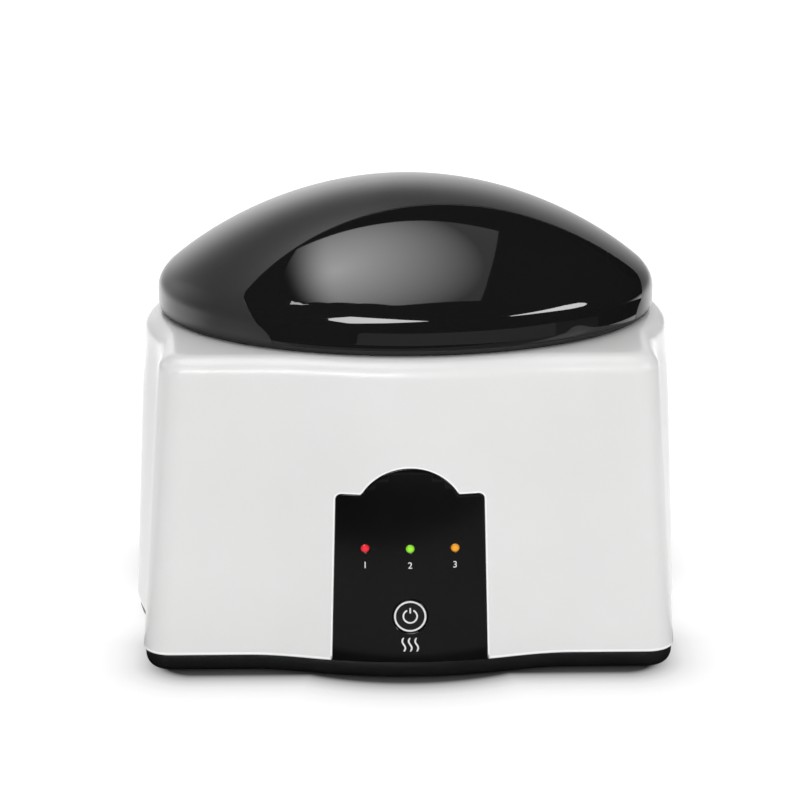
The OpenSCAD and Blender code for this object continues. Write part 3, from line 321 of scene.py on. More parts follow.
# ---------------------------------------------------------------- control panel
def panel_outline(grow=0.0, low_extra=0.0):
    """Closed outline of the panel as (x, z), counterclockwise from the foot at the right."""
    foot, top, shoulder, arch_z, arch_w, r = 27.9, 26.4, 70.3, 80.2, 17.2, 2.2
    low, flat_end = FOOT_Z + 0.1, arch_w + 0.5
    arch_h = arch_z - shoulder
    arch_r = (arch_w ** 2 + arch_h ** 2) / (2 * arch_h)
    side = [(foot + (top - foot) * f, low + (shoulder - r - low) * f) for f in np.linspace(0, 1, 40)[:-1]]
    side += [(top - r + r * math.cos(a), shoulder - r + r * math.sin(a)) for a in quarter(8)]
    side += [(top - r + (flat_end - top + r) * f, shoulder) for f in np.linspace(0, 1, 8)[1:-1]]
    side += [(flat_end, shoulder), (arch_w + 0.12, shoulder + 0.12), (arch_w - 0.2, shoulder + 0.6)]
    side += [(arch_r * math.sin(a), arch_z - arch_r + arch_r * math.cos(a))
             for a in np.linspace(math.asin(arch_w / arch_r), 0, 30)[1:]]
    left = [(-x, z) for x, z in reversed(side[:-1])]
    bottom = [(x, low) for x in np.linspace(-foot, foot, 40)[1:-1]]
    pts = np.array(side + left + bottom)
    pts = pts + grow * outward(pts)
    pts[pts[:, 1] < low + 0.5, 1] -= low_extra
    return pts


def outward(pts):
    """Unit normals that point out of a closed outline."""
    d = np.roll(pts, -1, 0) - np.roll(pts, 1, 0)
    d /= np.maximum(np.linalg.norm(d, axis=1), 1e-9)[:, None]
    return np.stack([d[:, 1], -d[:, 0]], 1)


def panel_lip(r, gap):
    """Fine raised lip of the housing beside and over the panel, open along its foot."""
    levels = [(gap, PANEL_T), (gap, 0.1), (gap + 0.12, -r), (gap + 0.55, -r), (gap + 0.65, r),
              (gap + 0.65, PANEL_T)]
    rails = []
    for grow, depth in levels:
        pts = panel_outline(grow)
        pts = pts[pts[:, 1] > FOOT_Z + 0.6]
        rails.append(list(zip(pts[:, 0], drum_front(pts[:, 0], pts[:, 1]) + depth, pts[:, 1])))
    return loft(list(zip(*rails)))


def foot_line(low, high, depth):
    """Fine raised line round the shell's foot, open in front of the panel."""
    open_x, sunk = 28.4, -0.02
    t = np.sort((T + math.pi / 2) % (2 * math.pi)) - math.pi / 2
    t = t[(np.sin(t) > 0) | (np.abs(body_ray(t, FOOT_Z, 0) * np.cos(t)) > open_x)]
    rails = [polar_ring(t, body_ray(t, z, inset), z)
             for inset, z in ((sunk, low), (sunk, high), (depth, high), (depth, low))]
    return loft(list(zip(*rails)))


def bent_plate(outline, front, back, edge_r=0.0):
    """A plate with a sharp or rounded front edge, cut into strips and bent to the drum's front."""
    bm = bmesh.new()
    levels = [(0.0, front)]
    if edge_r:
        levels = [(edge_r * math.sin(a) - edge_r, front + edge_r * (1 - math.cos(a)))
                  for a in quarter(5)]
    levels.append((0.0, back))
    pts = np.array(outline)
    normal = outward(pts)
    rings = []
    for grow, depth in levels:
        rings.append([bm.verts.new((x, depth, z)) for x, z in pts + grow * normal])
    n = len(pts)
    for a, b in zip(rings[:-1], rings[1:]):
        for i in range(n):
            bm.faces.new((a[i], a[(i + 1) % n], b[(i + 1) % n], b[i]))
    bm.faces.new(list(reversed(rings[0])))
    bm.faces.new(rings[-1])
    for axis, cuts in ((0, np.arange(-27, 27.1, 1.5)), (2, np.arange(9, 80, 3.0))):
        for c in cuts:
            co, no = [0, 0, 0], [0, 0, 0]
            co[axis], no[axis] = c + 0.003, 1
            geom = bm.verts[:] + bm.edges[:] + bm.faces[:]
            bmesh.ops.bisect_plane(bm, geom=geom, plane_co=co, plane_no=no)
    for v in bm.verts:
        v.co.y += float(drum_front(v.co.x, v.co.z))
    bm.verts.index_update()
    verts = [tuple(v.co) for v in bm.verts]
    faces = [tuple(v.index for v in f.verts) for f in bm.faces]
    bm.free()
    return verts, faces


def build_panel():
    plate = new_object("panel_plate", *bent_plate(panel_outline(), 0.0, PANEL_T, 0.3), ROOT)
    place = on_panel(BUTTON_Z)
    bore = revolve([(0, -5), (BORE_R, -5), (BORE_R, -0.25), (BORE_R + 0.25, 0), (BORE_R + 1.2, 1.0),
                    (0, 1.0)], 96, place)
    lamps = [revolve([(0, -5), (LAMP_R + 0.05, -5), (LAMP_R + 0.05, -0.2), (LAMP_R + 1.0, 0.8),
                      (0, 0.8)], 64, on_panel(LAMP_Z, i * LAMP_PITCH)) for i in (-1, 0, 1)]
    cut_away(plate, [bore] + lamps)
    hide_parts("control_fascia")
    collar = new_object("button_collar", *revolve_ring(BORE_R, 9.0, -6.5, -1.55, place), ROOT)
    lip = new_object("panel_lip", *panel_lip(0.05, 0.12), ROOT)
    line = new_object("foot_line", *foot_line(FOOT_Z + 0.45, FOOT_Z + 1.1, 0.3), ROOT)
    return plate, collar, lip, line


def open_arc(r0, r1, z, t, gap, place):
    """Raised arc with round ends, open over gap degrees to each side of its top."""
    angles = np.linspace(math.radians(90 + gap), math.radians(450 - gap), 96)
    mid, half = (r0 + r1) / 2, (r1 - r0) / 2

    def round_end(f, start):
        return [(mid * math.cos(f) + half * math.cos(start + k), mid * math.sin(f) + half * math.sin(start + k))
                for k in np.linspace(0, math.pi, 9)[1:-1]]

    outline = [(r1 * math.cos(a), r1 * math.sin(a)) for a in angles]
    outline += round_end(angles[-1], angles[-1])
    outline += [(r0 * math.cos(a), r0 * math.sin(a)) for a in reversed(angles)]
    outline += round_end(angles[0], angles[0] + math.pi)
    return prism(outline, z, z + t, place)


def build_button():
    place = on_panel(BUTTON_Z)
    top, edge = -0.05, 0.5
    dish = top - 0.11
    profile = [(0, top - 0.12), (2.5, top - 0.1), (4.2, top - 0.04), (BUTTON_R - edge, top)]
    profile += [(BUTTON_R - edge + edge * math.sin(a), top - edge + edge * math.cos(a))
                for a in quarter(6)[1:]]
    profile += [(BUTTON_R, -6.53), (8.1, -6.53), (8.1, -7.73), (2, -7.73), (2, -8.33), (0, -8.33)]
    cap = new_object("button_cap", *revolve(profile, 128, place), BUTTON)
    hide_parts("power_button")
    ring = new_object("button_ring", *revolve_ring(5.1, 5.75, top - 0.05, top + 0.02, place), BUTTON)
    bar = [(0.3 * math.cos(a), z + 0.3 * math.sin(a)) for z, start in ((1.35, math.pi), (2.9, 0))
           for a in np.linspace(start, start + math.pi, 9)]
    parts = [open_arc(2.15, 2.75, dish, 0.05, 33, place), prism(bar, dish, dish + 0.05, place)]
    mark = new_object("button_mark", *join_parts(parts), BUTTON)
    return cap, ring, mark


def panel_text(name, words, size, x, z):
    """Raised print on the panel, centred at (x, z), bent to the drum."""
    curve = bpy.data.curves.new(name, "FONT")
    curve.body, curve.size = words, size
    curve.align_x, curve.align_y = "CENTER", "CENTER"
    curve.extrude, curve.resolution_u = 0.012, 6
    curve.offset = 0.02
    temp = bpy.data.objects.new(name + "_flat", curve)
    bpy.context.scene.collection.objects.link(temp)
    mesh = bpy.data.meshes.new_from_object(temp.evaluated_get(bpy.context.evaluated_depsgraph_get()))
    bpy.data.objects.remove(temp)
    bpy.data.curves.remove(curve)
    for v in mesh.vertices:
        px, pz = x + v.co.x, z + v.co.y
        v.co = (px * MM, (float(drum_front(px, pz)) - 0.008 - v.co.z) * MM, pz * MM)
    return dress_mesh(name, mesh, ROOT)


def build_print():
    done = []
    for i, words in enumerate(("1", "2", "3")):
        done.append(panel_text("lamp_number_" + words, words, NUMERAL_H, (i - 1) * LAMP_PITCH, NUMERAL_Z))
    low, height, pitch, swing = 12.3, 5.2, 2.3, 0.55
    waves = []
    for k in (-1, 0, 1):
        waves.append(ribbon([(k * pitch + swing * math.sin(2 * math.pi * f), low + height * f)
                             for f in np.linspace(0, 1, 25)], 0.62))
    done.append(new_object("steam_mark", *join_parts(waves), ROOT))
    return done


def ribbon(line, width):
    """Raised stroke along a line of (x, z) on the panel, drawn in at both ends."""
    p = np.array(line)
    d = np.gradient(p, axis=0)
    d /= np.linalg.norm(d, axis=1)[:, None]
    n = np.stack([-d[:, 1], d[:, 0]], 1)
    k = len(p)
    from_end = np.minimum(np.arange(k), np.arange(k)[::-1])
    half = n * (width / 2 * np.minimum(1, from_end * 0.3 + 0.35))[:, None]
    pts = np.concatenate([p + half, (p - half)[::-1]])
    m = len(pts)
    front = [(x, float(drum_front(x, z)) - 0.02, z) for x, z in pts]
    back = [(x, float(drum_front(x, z)) + 0.004, z) for x, z in pts]
    faces = [(i, (i + 1) % m, m + (i + 1) % m, m + i) for i in range(m)]
    for i in range(k - 1):
        j = m - 1 - i
        faces.append((i, i + 1, j - 1, j))
        faces.append((m + i, m + j, m + j - 1, m + i + 1))
    return front + back, faces


def build_lamps():
    done = []
    flange_w, flange_t, dome, sunk = 0.7, 0.8, 0.35, 0.3
    for name, i, _ in LAMPS:
        x = i * LAMP_PITCH
        back = float(drum_front(x, LAMP_Z) - drum_front(0, LAMP_Z)) - 5.5
        profile = [(0, back), (LAMP_R + flange_w, back), (LAMP_R + flange_w, back + flange_t),
                   (LAMP_R, back + flange_t)]
        profile += [(LAMP_R * math.cos(a), dome * math.sin(a) - sunk) for a in quarter(8)]
        lens = new_object(name + "_lens", *revolve(profile, 64, on_panel(LAMP_Z, x)), ROOT)
        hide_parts(name + "_lamp")
        done.append(lens)
    return done


# ---------------------------------------------------------------- tray
def build_tray():
    z0 = 1.0
    rows = [(z0 + 5 * (1 - math.cos(a)), 0.8 + 4 * (1 - math.sin(a))) for a in quarter(12)]
    rows += [(FOOT_Z - 0.35, 0.8), (FOOT_Z - 0.1, 0.9), (FOOT_Z, 1.15), (FOOT_Z, 3.1),
             (FOOT_Z + 2.5, 3.1), (FOOT_Z + 2.5, 4.7), (3.5, 4.7)]
    tray = new_object("tray_shell", *loft([body_ring(z, inset, FOOT_Z) for z, inset in rows]), ROOT)
    cutters = []
    slot_r, slot_half, slot_pitch, slot_y = 1.3, 10.7, 6.5, -26
    for sx in (-1, 1):
        for sy in (-1, 1):
            cutters.append(rod(FOOT_XY[0] * sx, FOOT_XY[1] * sy, 0, z0 + 1.2, FOOT_R))
            cutters.append(rod(SCREW_XY[0] * sx, SCREW_XY[1] * sy, 0, z0 + 1.4, SCREW_R))
        for i in range(7):
            x = sx * 34 + (i - 3) * slot_pitch
            line = [(x + slot_r * math.cos(a),
                     slot_y + (slot_half if math.sin(a) >= 0 else -slot_half) + slot_r * math.sin(a))
                    for a in np.linspace(0, 2 * math.pi, 24, endpoint=False)]
            cutters.append(prism(line, 0, 5, lambda p: p))
    cut_away(tray, cutters)
    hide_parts("base_tray")
    return tray


# ---------------------------------------------------------------- cover
def dome_z(s):
    return SKIRT_Z + 36.3 * (1 - s * s) ** 0.9


def skirt_row(h):
    """Row of the cover's skirt at a height over its rim; the foot is rounded inwards."""
    f = max(0.0, 1 - h / COVER_FOOT[1])
    return 1 - COVER_FOOT[0] / COVER_A[0] * (1 - math.sqrt(1 - f * f)), RIM_Z + h, 0.0


def edge_row(f):
    s = (1 - f) ** 2 + 2 * f * (1 - f) + f * f * EDGE_S
    z = (1 - f) ** 2 * (SKIRT_Z - COVER_EDGE) + 2 * f * (1 - f) * SKIRT_Z + f * f * dome_z(EDGE_S)
    return s, z, f


def cover_point(t, row, depth):
    return ((COVER_A[0] - depth) * row[0] * math.cos(t), (COVER_A[1] - depth) * row[0] * math.sin(t),
            row[1] - depth * row[2])


def cover_ring(row, depth):
    return [cover_point(2 * math.pi * i / 360, row, depth) for i in range(360)]


SKIRT_SHARE, EDGE_SHARE = 0.28, 0.42


def cover_row(q):
    if q <= SKIRT_SHARE:
        return skirt_row(SKIRT_H * q / SKIRT_SHARE)
    if q <= EDGE_SHARE:
        return edge_row((q - SKIRT_SHARE) / (EDGE_SHARE - SKIRT_SHARE))
    s = EDGE_S * (1 - (q - EDGE_SHARE) / (1 - EDGE_SHARE))
    return s, dome_z(s), 1.0


def share_of(s):
    if s >= EDGE_S:
        return SKIRT_SHARE + (EDGE_SHARE - SKIRT_SHARE) * math.sqrt((1 - s) / (1 - EDGE_S))
    return EDGE_SHARE + (1 - EDGE_SHARE) * (1 - s / EDGE_S)


ARCH = [np.array(p, float) for p in ((-57.9, -44.0), (-33, -28.8), (25, -16), (85.7, -16.0))]


def visor_arch(f, grow):
    a, b, c, d = ARCH
    p = (1 - f) ** 3 * a + 3 * (1 - f) ** 2 * f * b + 3 * (1 - f) * f * f * c + f ** 3 * d
    v = 3 * (1 - f) ** 2 * (b - a) + 6 * (1 - f) * f * (c - b) + 3 * f * f * (d - c)
    v /= np.linalg.norm(v)
    return p + grow * np.array([-v[1], v[0]]) + grow * (2 * f - 1) * v


def bearing_of(p):
    return math.atan2(p[1] / COVER_A[1], p[0] / COVER_A[0])


def oval_share(p):
    return math.hypot(p[0] / COVER_A[0], p[1] / COVER_A[1])


def visor_grid(fs, js, grow, depth):
    """Points of the visor's sheet for shares fs across and js up; depth may hang on both."""
    tip = visor_arch(0, grow)
    left, right = bearing_of(tip), bearing_of(visor_arch(1, grow))
    widen = math.radians(grow * 360 / (math.pi * sum(COVER_A)))
    rim_l, rim_r = math.radians(VISOR_RIM[0]) - widen, math.radians(VISOR_RIM[1]) + widen
    low_q, lean_q = SKIRT_SHARE * VISOR_LOW / SKIRT_H, share_of(oval_share(tip))
    grid = []
    for f in fs:
        arch = visor_arch(f, grow)
        top_t = bearing_of(arch)
        top_q = share_of(min(oval_share(arch), 0.995))
        rim_t = rim_l + (rim_r - rim_l) * (top_t - left) / (right - left)
        col = []
        for j in js:
            q = low_q + (top_q - low_q) * j
            lean = min(1.0, q / lean_q) ** 2.3
            row = cover_row(q)
            if j == 0:
                row = (row[0], row[1] - grow, row[2])
            d = depth(f, j) if callable(depth) else depth
            col.append(cover_point(rim_t + (top_t - rim_t) * lean, row, d))
        grid.append(col)
    return grid


def sheet_solid(front, back):
    """Closed solid between two grids of the same size."""
    n, m = len(front), len(front[0])
    verts = [p for col in front for p in col] + [p for col in back for p in col]
    off = n * m
    faces = []
    for i in range(n - 1):
        for j in range(m - 1):
            a, b, c, d = i * m + j, (i + 1) * m + j, (i + 1) * m + j + 1, i * m + j + 1
            faces.append((a, b, c, d))
            faces.append((off + a, off + d, off + c, off + b))
    for i in range(n - 1):
        for j in (0, m - 1):
            faces.append((i * m + j, (i + 1) * m + j, off + (i + 1) * m + j, off + i * m + j))
    for j in range(m - 1):
        for i in (0, n - 1):
            faces.append((i * m + j, i * m + j + 1, off + i * m + j + 1, off + i * m + j))
    return verts, faces


def build_dome():
    outer = [cover_ring(skirt_row(COVER_FOOT[1] * (1 - math.cos(a))), 0) for a in quarter(14)]
    outer += [cover_ring(skirt_row(h), 0) for h in np.linspace(COVER_FOOT[1], SKIRT_H, 4)[1:-1]]
    outer += [cover_ring(edge_row(f), 0) for f in np.linspace(0, 1, 13)]
    outer += [cover_ring((s, dome_z(s), 1.0), 0) for s in EDGE_S * (1 - np.linspace(0, 1, 46)[1:-1])]
    inner = [cover_ring((1.0, RIM_Z, 0.0), COVER_WALL)]
    inner += [cover_ring(edge_row(f), COVER_WALL) for f in np.linspace(0, 1, 4)]
    inner += [cover_ring((s, dome_z(s), 1.0), COVER_WALL) for s in (0.85, 0.7, 0.5, 0.3, 0.1)]
    shell = new_object("cover_dome", *loft(list(reversed(inner)) + outer), COVER)
    # seat of the visor and pockets for the hinge's arms
    fs, js, gap = np.linspace(0, 1, 121), np.linspace(0, 1, 49), 0.16
    cutters = [sheet_solid(visor_grid(fs, js, gap, -0.8), visor_grid(fs, js, gap, VISOR_T + 0.02))]
    for s in (-1, 1):
        lo, hi = sorted(s * x for x in ARM_POCKET_X)
        cutters.append(box_solid((lo, ARM_POCKET_Y[0], RIM_Z - 1), (hi, ARM_POCKET_Y[1], LINER_Z + 0.3)))
    cut_away(shell, cutters, 30)
    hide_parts("cover_shell")
    return shell


def fine_ends(count, length):
    """Shares of a length, close together at both ends where the edge is rounded."""
    ends = [v / length for v in (0, 0.06, 0.13, 0.22, 0.35, 0.6)]
    return np.array(ends + list(np.linspace(0, 1, count)[1:-1]) + [1 - v for v in reversed(ends)])


def edge_depth(f, j):
    """Depth of the visor's rounded edge at shares f across and j up."""
    r, (width, height) = VISOR_EDGE_R, VISOR_SIZE
    d = min(f * width, (1 - f) * width, j * height, (1 - j) * height)
    return 0.0 if d >= r else r - math.sqrt(max(r * r - (r - d) ** 2, 0))


def build_visor():
    fs, js = fine_ends(140, VISOR_SIZE[0]), fine_ends(64, VISOR_SIZE[1])
    front = visor_grid(fs, js, 0, edge_depth)
    visor = new_object("visor_pane", *sheet_solid(front, visor_grid(fs, js, 0, VISOR_T)), COVER, 50)
    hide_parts("cover_visor")
    return visor


def build_liner():
    flat_s, step_f, e = 0.8, 0.12, COVER_WALL + 0.4

    def pan_ring(s, lift):
        f = max(0.0, 1 - s / flat_s)
        up = min(1.0, (1 - (1 - f) ** 2.2) * min(1.0, f / step_f) ** 0.5 * 0.98 + 0.02 * f)
        return [((COVER_A[0] - e) * s * math.cos(t), (COVER_A[1] - e) * s * math.sin(t),
                 LINER_Z + up * LINER_RISE + lift) for t in np.linspace(0, 2 * math.pi, 240, endpoint=False)]

    ss = [1, 0.97, 0.82] + list(np.linspace(flat_s, 0.05, 26))
    rings = [pan_ring(s, 0) for s in reversed(ss)] + [pan_ring(s, LINER_T) for s in ss]
    liner = new_object("cover_pan", *loft(rings), COVER)
    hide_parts("cover_liner")
    return liner


def build_gap_ring():
    """Dark lip from inside the cover's rim down to just over the deck; it closes the gap between them and
    stands in for the shade there.
    """
    low, high, outer, inner = DECK_Z + 0.15, RIM_Z + 1.5, 2.9, 4.1
    lip = [oval_ring(z, COVER_A[0] - e, COVER_A[1] - e)
           for e, z in ((outer, low), (outer, high), (inner, high), (inner, low))]
    gap_ring = new_object("cover_lip", *loft(lip, looped=True), COVER)
    return gap_ring


# ---------------------------------------------------------------- materials
def shader(name):
    mat = bpy.data.materials.new(name)
    mat.use_nodes = True
    tree = mat.node_tree
    return mat, tree, tree.nodes["Principled BSDF"]


def node(tree, kind, **values):
    n = tree.nodes.new(kind)
    for key, value in values.items():
        if key in n.inputs:
            n.inputs[key].default_value = value
        else:
            setattr(n, key, value)
    return n


def maths(tree, operation, first, second):
    """Output of a maths node on a socket and a number or another socket."""
    n = node(tree, "ShaderNodeMath", operation=operation)
    tree.links.new(first, n.inputs[0])
    if isinstance(second, float):
        n.inputs[1].default_value = second
    else:
        tree.links.new(second, n.inputs[1])
    return n.outputs[0]


def map_range(tree, source, low, high, start=0.0, end=1.0, **values):
    """Output that runs from low to high while the source runs from start to end."""
    n = node(tree, "ShaderNodeMapRange", **values)
    for key, value in (("From Min", start), ("From Max", end), ("To Min", low), ("To Max", high)):
        n.inputs[key].default_value = value
    tree.links.new(source, n.inputs["Value"])
    return n.outputs["Result"]


def ramp(tree, source, stops):
    """Colour ramp on a socket, with stops of (place, colour)."""
    n = node(tree, "ShaderNodeValToRGB")
    for i, (at, color) in enumerate(stops):
        stop = n.color_ramp.elements[i] if i < 2 else n.color_ramp.elements.new(at)
        stop.position, stop.color = at, (*color, 1)
    tree.links.new(source, n.inputs["Fac"])
    return n.outputs["Color"]


def place_of(tree):
    return node(tree, "ShaderNodeTexCoord").outputs["Object"]


def axis_of(tree, letter):
    axes = node(tree, "ShaderNodeSeparateXYZ")
    tree.links.new(place_of(tree), axes.inputs["Vector"])
    return axes.outputs[letter]


def mapped(tree, **values):
    mapping = node(tree, "ShaderNodeMapping", **values)
    tree.links.new(place_of(tree), mapping.inputs["Vector"])
    return mapping.outputs["Vector"]


def ball_share(tree, centre, scale):
    """Output that falls from 1 at the centre, in metres, to 0 at a distance of 1 / scale."""
    ball = node(tree, "ShaderNodeTexGradient", gradient_type="SPHERICAL")
    place = mapped(tree, Location=tuple(-c * scale for c in centre), Scale=(scale, scale, scale))
    tree.links.new(place, ball.inputs["Vector"])
    return ball.outputs["Fac"]


def surface(name, low, high, rough, grain, bump, blotch, stretch=(1, 1, 1),
            metallic=0.0, specular=0.5, coat=0.0, coat_rough=0.05):
    """Moulded or drawn surface: slow colour drift, fine grain in roughness and bump."""
    mat, tree, bsdf = shader(name)
    link = tree.links.new
    place = mapped(tree, Scale=stretch)
    slow = node(tree, "ShaderNodeTexNoise", Scale=blotch, Detail=3.0, Roughness=0.5)
    fine = node(tree, "ShaderNodeTexNoise", Scale=grain, Detail=4.0, Roughness=0.6)
    for tex in (slow, fine):
        link(place, tex.inputs["Vector"])
    link(ramp(tree, slow.outputs["Fac"], ((0.3, low), (0.7, high))), bsdf.inputs["Base Color"])
    link(map_range(tree, fine.outputs["Fac"], *rough), bsdf.inputs["Roughness"])
    if bump:
        b = node(tree, "ShaderNodeBump", Strength=bump, Distance=0.0002)
        link(fine.outputs["Fac"], b.inputs["Height"])
        link(b.outputs["Normal"], bsdf.inputs["Normal"])
    bsdf.inputs["Metallic"].default_value = metallic
    bsdf.inputs["Specular IOR Level"].default_value = specular
    bsdf.inputs["Coat Weight"].default_value = coat
    bsdf.inputs["Coat Roughness"].default_value = coat_rough
    return mat


def lens_material(name, color, centre):
    """Translucent lens, brightest over the light behind its middle."""
    mat, tree, bsdf = shader(name)
    ball = ball_share(tree, [c * MM for c in centre], 430)
    glow = ramp(tree, ball, ((0.25, [c * 0.35 for c in color]), (0.75, color)))
    tree.links.new(glow, bsdf.inputs["Emission Color"])
    bsdf.inputs["Base Color"].default_value = (*[c * 0.1 for c in color], 1)
    bsdf.inputs["Emission Strength"].default_value = 0.95
    bsdf.inputs["Roughness"].default_value = 0.2
    return mat


def paint(obj, mat):
    obj.data.materials.clear()
    obj.data.materials.append(mat)


def repaint(name, mat):
    for s in nodes[name].material_slots:
        s.material = mat
    if not nodes[name].material_slots:
        nodes[name].data.materials.append(mat)


# ---------------------------------------------------------------- build
shell = build_housing()
plate, collar, lip, line = build_panel()
cap, ring, mark = build_button()
prints = build_print()
lenses = build_lamps()
tray = build_tray()
# the dark lip under the cover's rim stands in for the shade in the gap over the deck
dome, visor, liner, gap_ring = build_dome(), build_visor(), build_liner(), build_gap_ring()

white = surface("white_abs", (0.835, 0.835, 0.828), (0.865, 0.865, 0.86), (0.32, 0.42), 1400, 0.04, 18,
                specular=0.3, coat=0.2, coat_rough=0.12)
tray_black = surface("tray_plastic", (0.008, 0.008, 0.0085), (0.012, 0.012, 0.0125), (0.4, 0.55),
                     1800, 0.25, 60)
rubber = surface("rubber", (0.02, 0.02, 0.02), (0.032, 0.032, 0.031), (0.65, 0.85), 1500, 0.4, 90,
                 specular=0.35)
satin = surface("satin_black", (0.030, 0.030, 0.0305), (0.036, 0.036, 0.0365), (0.32, 0.38), 1600, 0.03, 25)
# painted shade: gloss and sheen fade out towards the cover's rounded foot, so it stays dark where it meets the
# deck
satin_tree = satin.node_tree
satin_bsdf = satin_tree.nodes["Principled BSDF"]
satin_bsdf.inputs["Sheen Roughness"].default_value = 0.35
for socket, low, high in (("Specular IOR Level", 0.02, 0.5), ("Sheen Weight", 0.0, 0.48)):
    foot_shade = map_range(satin_tree, axis_of(satin_tree, "Z"), low, high,
                          (RIM_Z + 1.0) * MM, (RIM_Z + 4.0) * MM)
    satin_tree.links.new(foot_shade, satin_bsdf.inputs[socket])
gloss = surface("gloss_black", (0.008, 0.008, 0.0082), (0.010, 0.010, 0.0102), (0.02, 0.05), 500, 0.0, 15)
panel_black = surface("panel_black", (0.004, 0.004, 0.0042), (0.006, 0.006, 0.0062), (0.1, 0.16),
                      900, 0.01, 30)
button_black = surface("button_black", (0.011, 0.011, 0.0115), (0.015, 0.015, 0.0155), (0.25, 0.34),
                       1500, 0.05, 80, specular=0.4)
ink = surface("white_ink", (0.80, 0.80, 0.80), (0.88, 0.88, 0.88), (0.45, 0.6), 2500, 0.1, 300)
dark = surface("dark_plastic", (0.018, 0.018, 0.019), (0.028, 0.028, 0.029), (0.5, 0.62), 1700, 0.35, 60)
deck_mat = surface("deck_plastic", (0.03, 0.03, 0.031), (0.042, 0.042, 0.043), (0.45, 0.6), 1700, 0.35, 60)
chamber = surface("chamber_plastic", (0.13, 0.13, 0.135), (0.17, 0.17, 0.175), (0.45, 0.6), 1200, 0.2, 40)
steel = surface("spun_steel", (0.55, 0.55, 0.56), (0.68, 0.68, 0.69), (0.22, 0.38), 700, 0.15, 60,
                stretch=(1, 1, 6), metallic=1.0)
zinc = surface("zinc_screws", (0.42, 0.42, 0.43), (0.58, 0.58, 0.59), (0.25, 0.42), 1800, 0.1, 400,
               metallic=1.0)
aluminium = surface("cast_aluminium", (0.45, 0.46, 0.47), (0.56, 0.57, 0.58), (0.4, 0.6), 900, 0.5, 120,
                    metallic=1.0)
silicone = surface("silicone", (0.38, 0.07, 0.04), (0.46, 0.1, 0.06), (0.5, 0.65), 1500, 0.2, 90)
ceramic = surface("ceramic", (0.68, 0.66, 0.6), (0.8, 0.78, 0.72), (0.45, 0.6), 1200, 0.2, 90)
mica = surface("mica", (0.5, 0.42, 0.28), (0.66, 0.58, 0.4), (0.35, 0.6), 500, 0.3, 200, stretch=(1, 4, 1))
board = surface("circuit_board", (0.02, 0.12, 0.045), (0.035, 0.17, 0.07), (0.25, 0.4), 900, 0.2, 300)
blue = surface("relay_blue", (0.02, 0.07, 0.26), (0.03, 0.1, 0.32), (0.3, 0.4), 1200, 0.1, 80)
sleeve = surface("capacitor_sleeve", (0.012, 0.016, 0.07), (0.02, 0.025, 0.1), (0.25, 0.35), 1200, 0.1, 120)
green = surface("terminal_green", (0.03, 0.2, 0.06), (0.05, 0.26, 0.09), (0.4, 0.5), 1200, 0.15, 120)
brass = surface("pin_metal", (0.5, 0.46, 0.36), (0.66, 0.6, 0.47), (0.2, 0.34), 1500, 0.05, 300,
                metallic=1.0)
epoxy = surface("clear_epoxy", (0.62, 0.65, 0.68), (0.72, 0.75, 0.78), (0.08, 0.16), 900, 0.02, 200)
brown = surface("wire_brown", (0.13, 0.05, 0.025), (0.18, 0.07, 0.035), (0.4, 0.55), 1800, 0.1, 200)
red = surface("wire_red", (0.38, 0.03, 0.02), (0.48, 0.045, 0.03), (0.45, 0.6), 1800, 0.1, 200)
grey = surface("wire_grey", (0.4, 0.4, 0.4), (0.5, 0.5, 0.5), (0.4, 0.55), 1800, 0.1, 200)
enamel = surface("hinge_enamel", (0.02, 0.02, 0.02), (0.028, 0.028, 0.028), (0.28, 0.38), 1300, 0.1, 90)

# painted highlight: the fine lips are paler than the wall and glow a little, so they show as bright lines along
# the panel and the shell's foot
edge_highlight = surface("white_edge_painted_highlight", (0.93, 0.93, 0.925), (0.95, 0.95, 0.945), (0.2, 0.3), 1400, 0.0, 18,
                 specular=0.4)
edge_highlight_bsdf = edge_highlight.node_tree.nodes["Principled BSDF"]
edge_highlight_bsdf.inputs["Emission Color"].default_value = (1, 1, 1, 1)
edge_highlight_bsdf.inputs["Emission Strength"].default_value = 0.12

for obj, mat in ((shell, white), (lip, edge_highlight), (line, edge_highlight), (plate, panel_black), (collar, panel_black),
                 (cap, button_black), (ring, ink), (mark, ink), (tray, tray_black), (dome, satin),
                 (visor, gloss), (liner, dark), (gap_ring, rubber)):
    paint(obj, mat)
for obj in prints:
    paint(obj, ink)
for obj, (_, i, color) in zip(lenses, LAMPS):
    x = i * LAMP_PITCH
    paint(obj, lens_material(obj.name, color, (x, float(drum_front(x, LAMP_Z)), LAMP_Z)))

for mat, names in (
        (rubber, "rubber_feet cover_bumpers"),
        (zinc, "base_screws control_board_screws finger_deck_screws heater_bracket_screws power_board_screws "
               "liner_screws hinge_arm_screws hinge_bracket_screws hinge_pin thermal_fuse"),
        (dark, "lamp_holder tact_switch power_inlet"), (epoxy, "indicator_leds"),
        (board, "control_board power_board"), (deck_mat, "finger_deck"), (chamber, "steam_chamber"),
        (steel, "evaporation_dish heater_bracket"), (silicone, "dish_seal"),
        (aluminium, "heater_block thermostat"), (ceramic, "heater_element"), (mica, "insulating_sheet"),
        (blue, "relay"), (sleeve, "smoothing_capacitor"), (green, "terminal_block"), (brass, "inlet_pins"),
        (brown, "mains_wires"), (red, "heater_wires"), (grey, "signal_cable"),
        (enamel, "hinge_arms hinge_bracket")):
    for name in names.split():
        repaint(name, mat)


# ---------------------------------------------------------------- floor, light, camera
def stage_plane(name, corners, mat):
    mesh = bpy.data.meshes.new(name)
    mesh.from_pydata(corners, [], [tuple(range(len(corners)))])
    obj = bpy.data.objects.new(name, mesh)
    bpy.context.scene.collection.objects.link(obj)
    obj.data.materials.append(mat)
    return obj


def steps_of(tree, source, steps):
    """Chain of vector maths on a socket; each step is (operation, second vector or None)."""
    for operation, second in steps:
        n = node(tree, "ShaderNodeVectorMath", operation=operation)
        tree.links.new(source, n.inputs[0])
        if second:
            n.inputs[1].default_value = second
        source = n.outputs["Value" if operation == "LENGTH" else "Vector"]
    return source


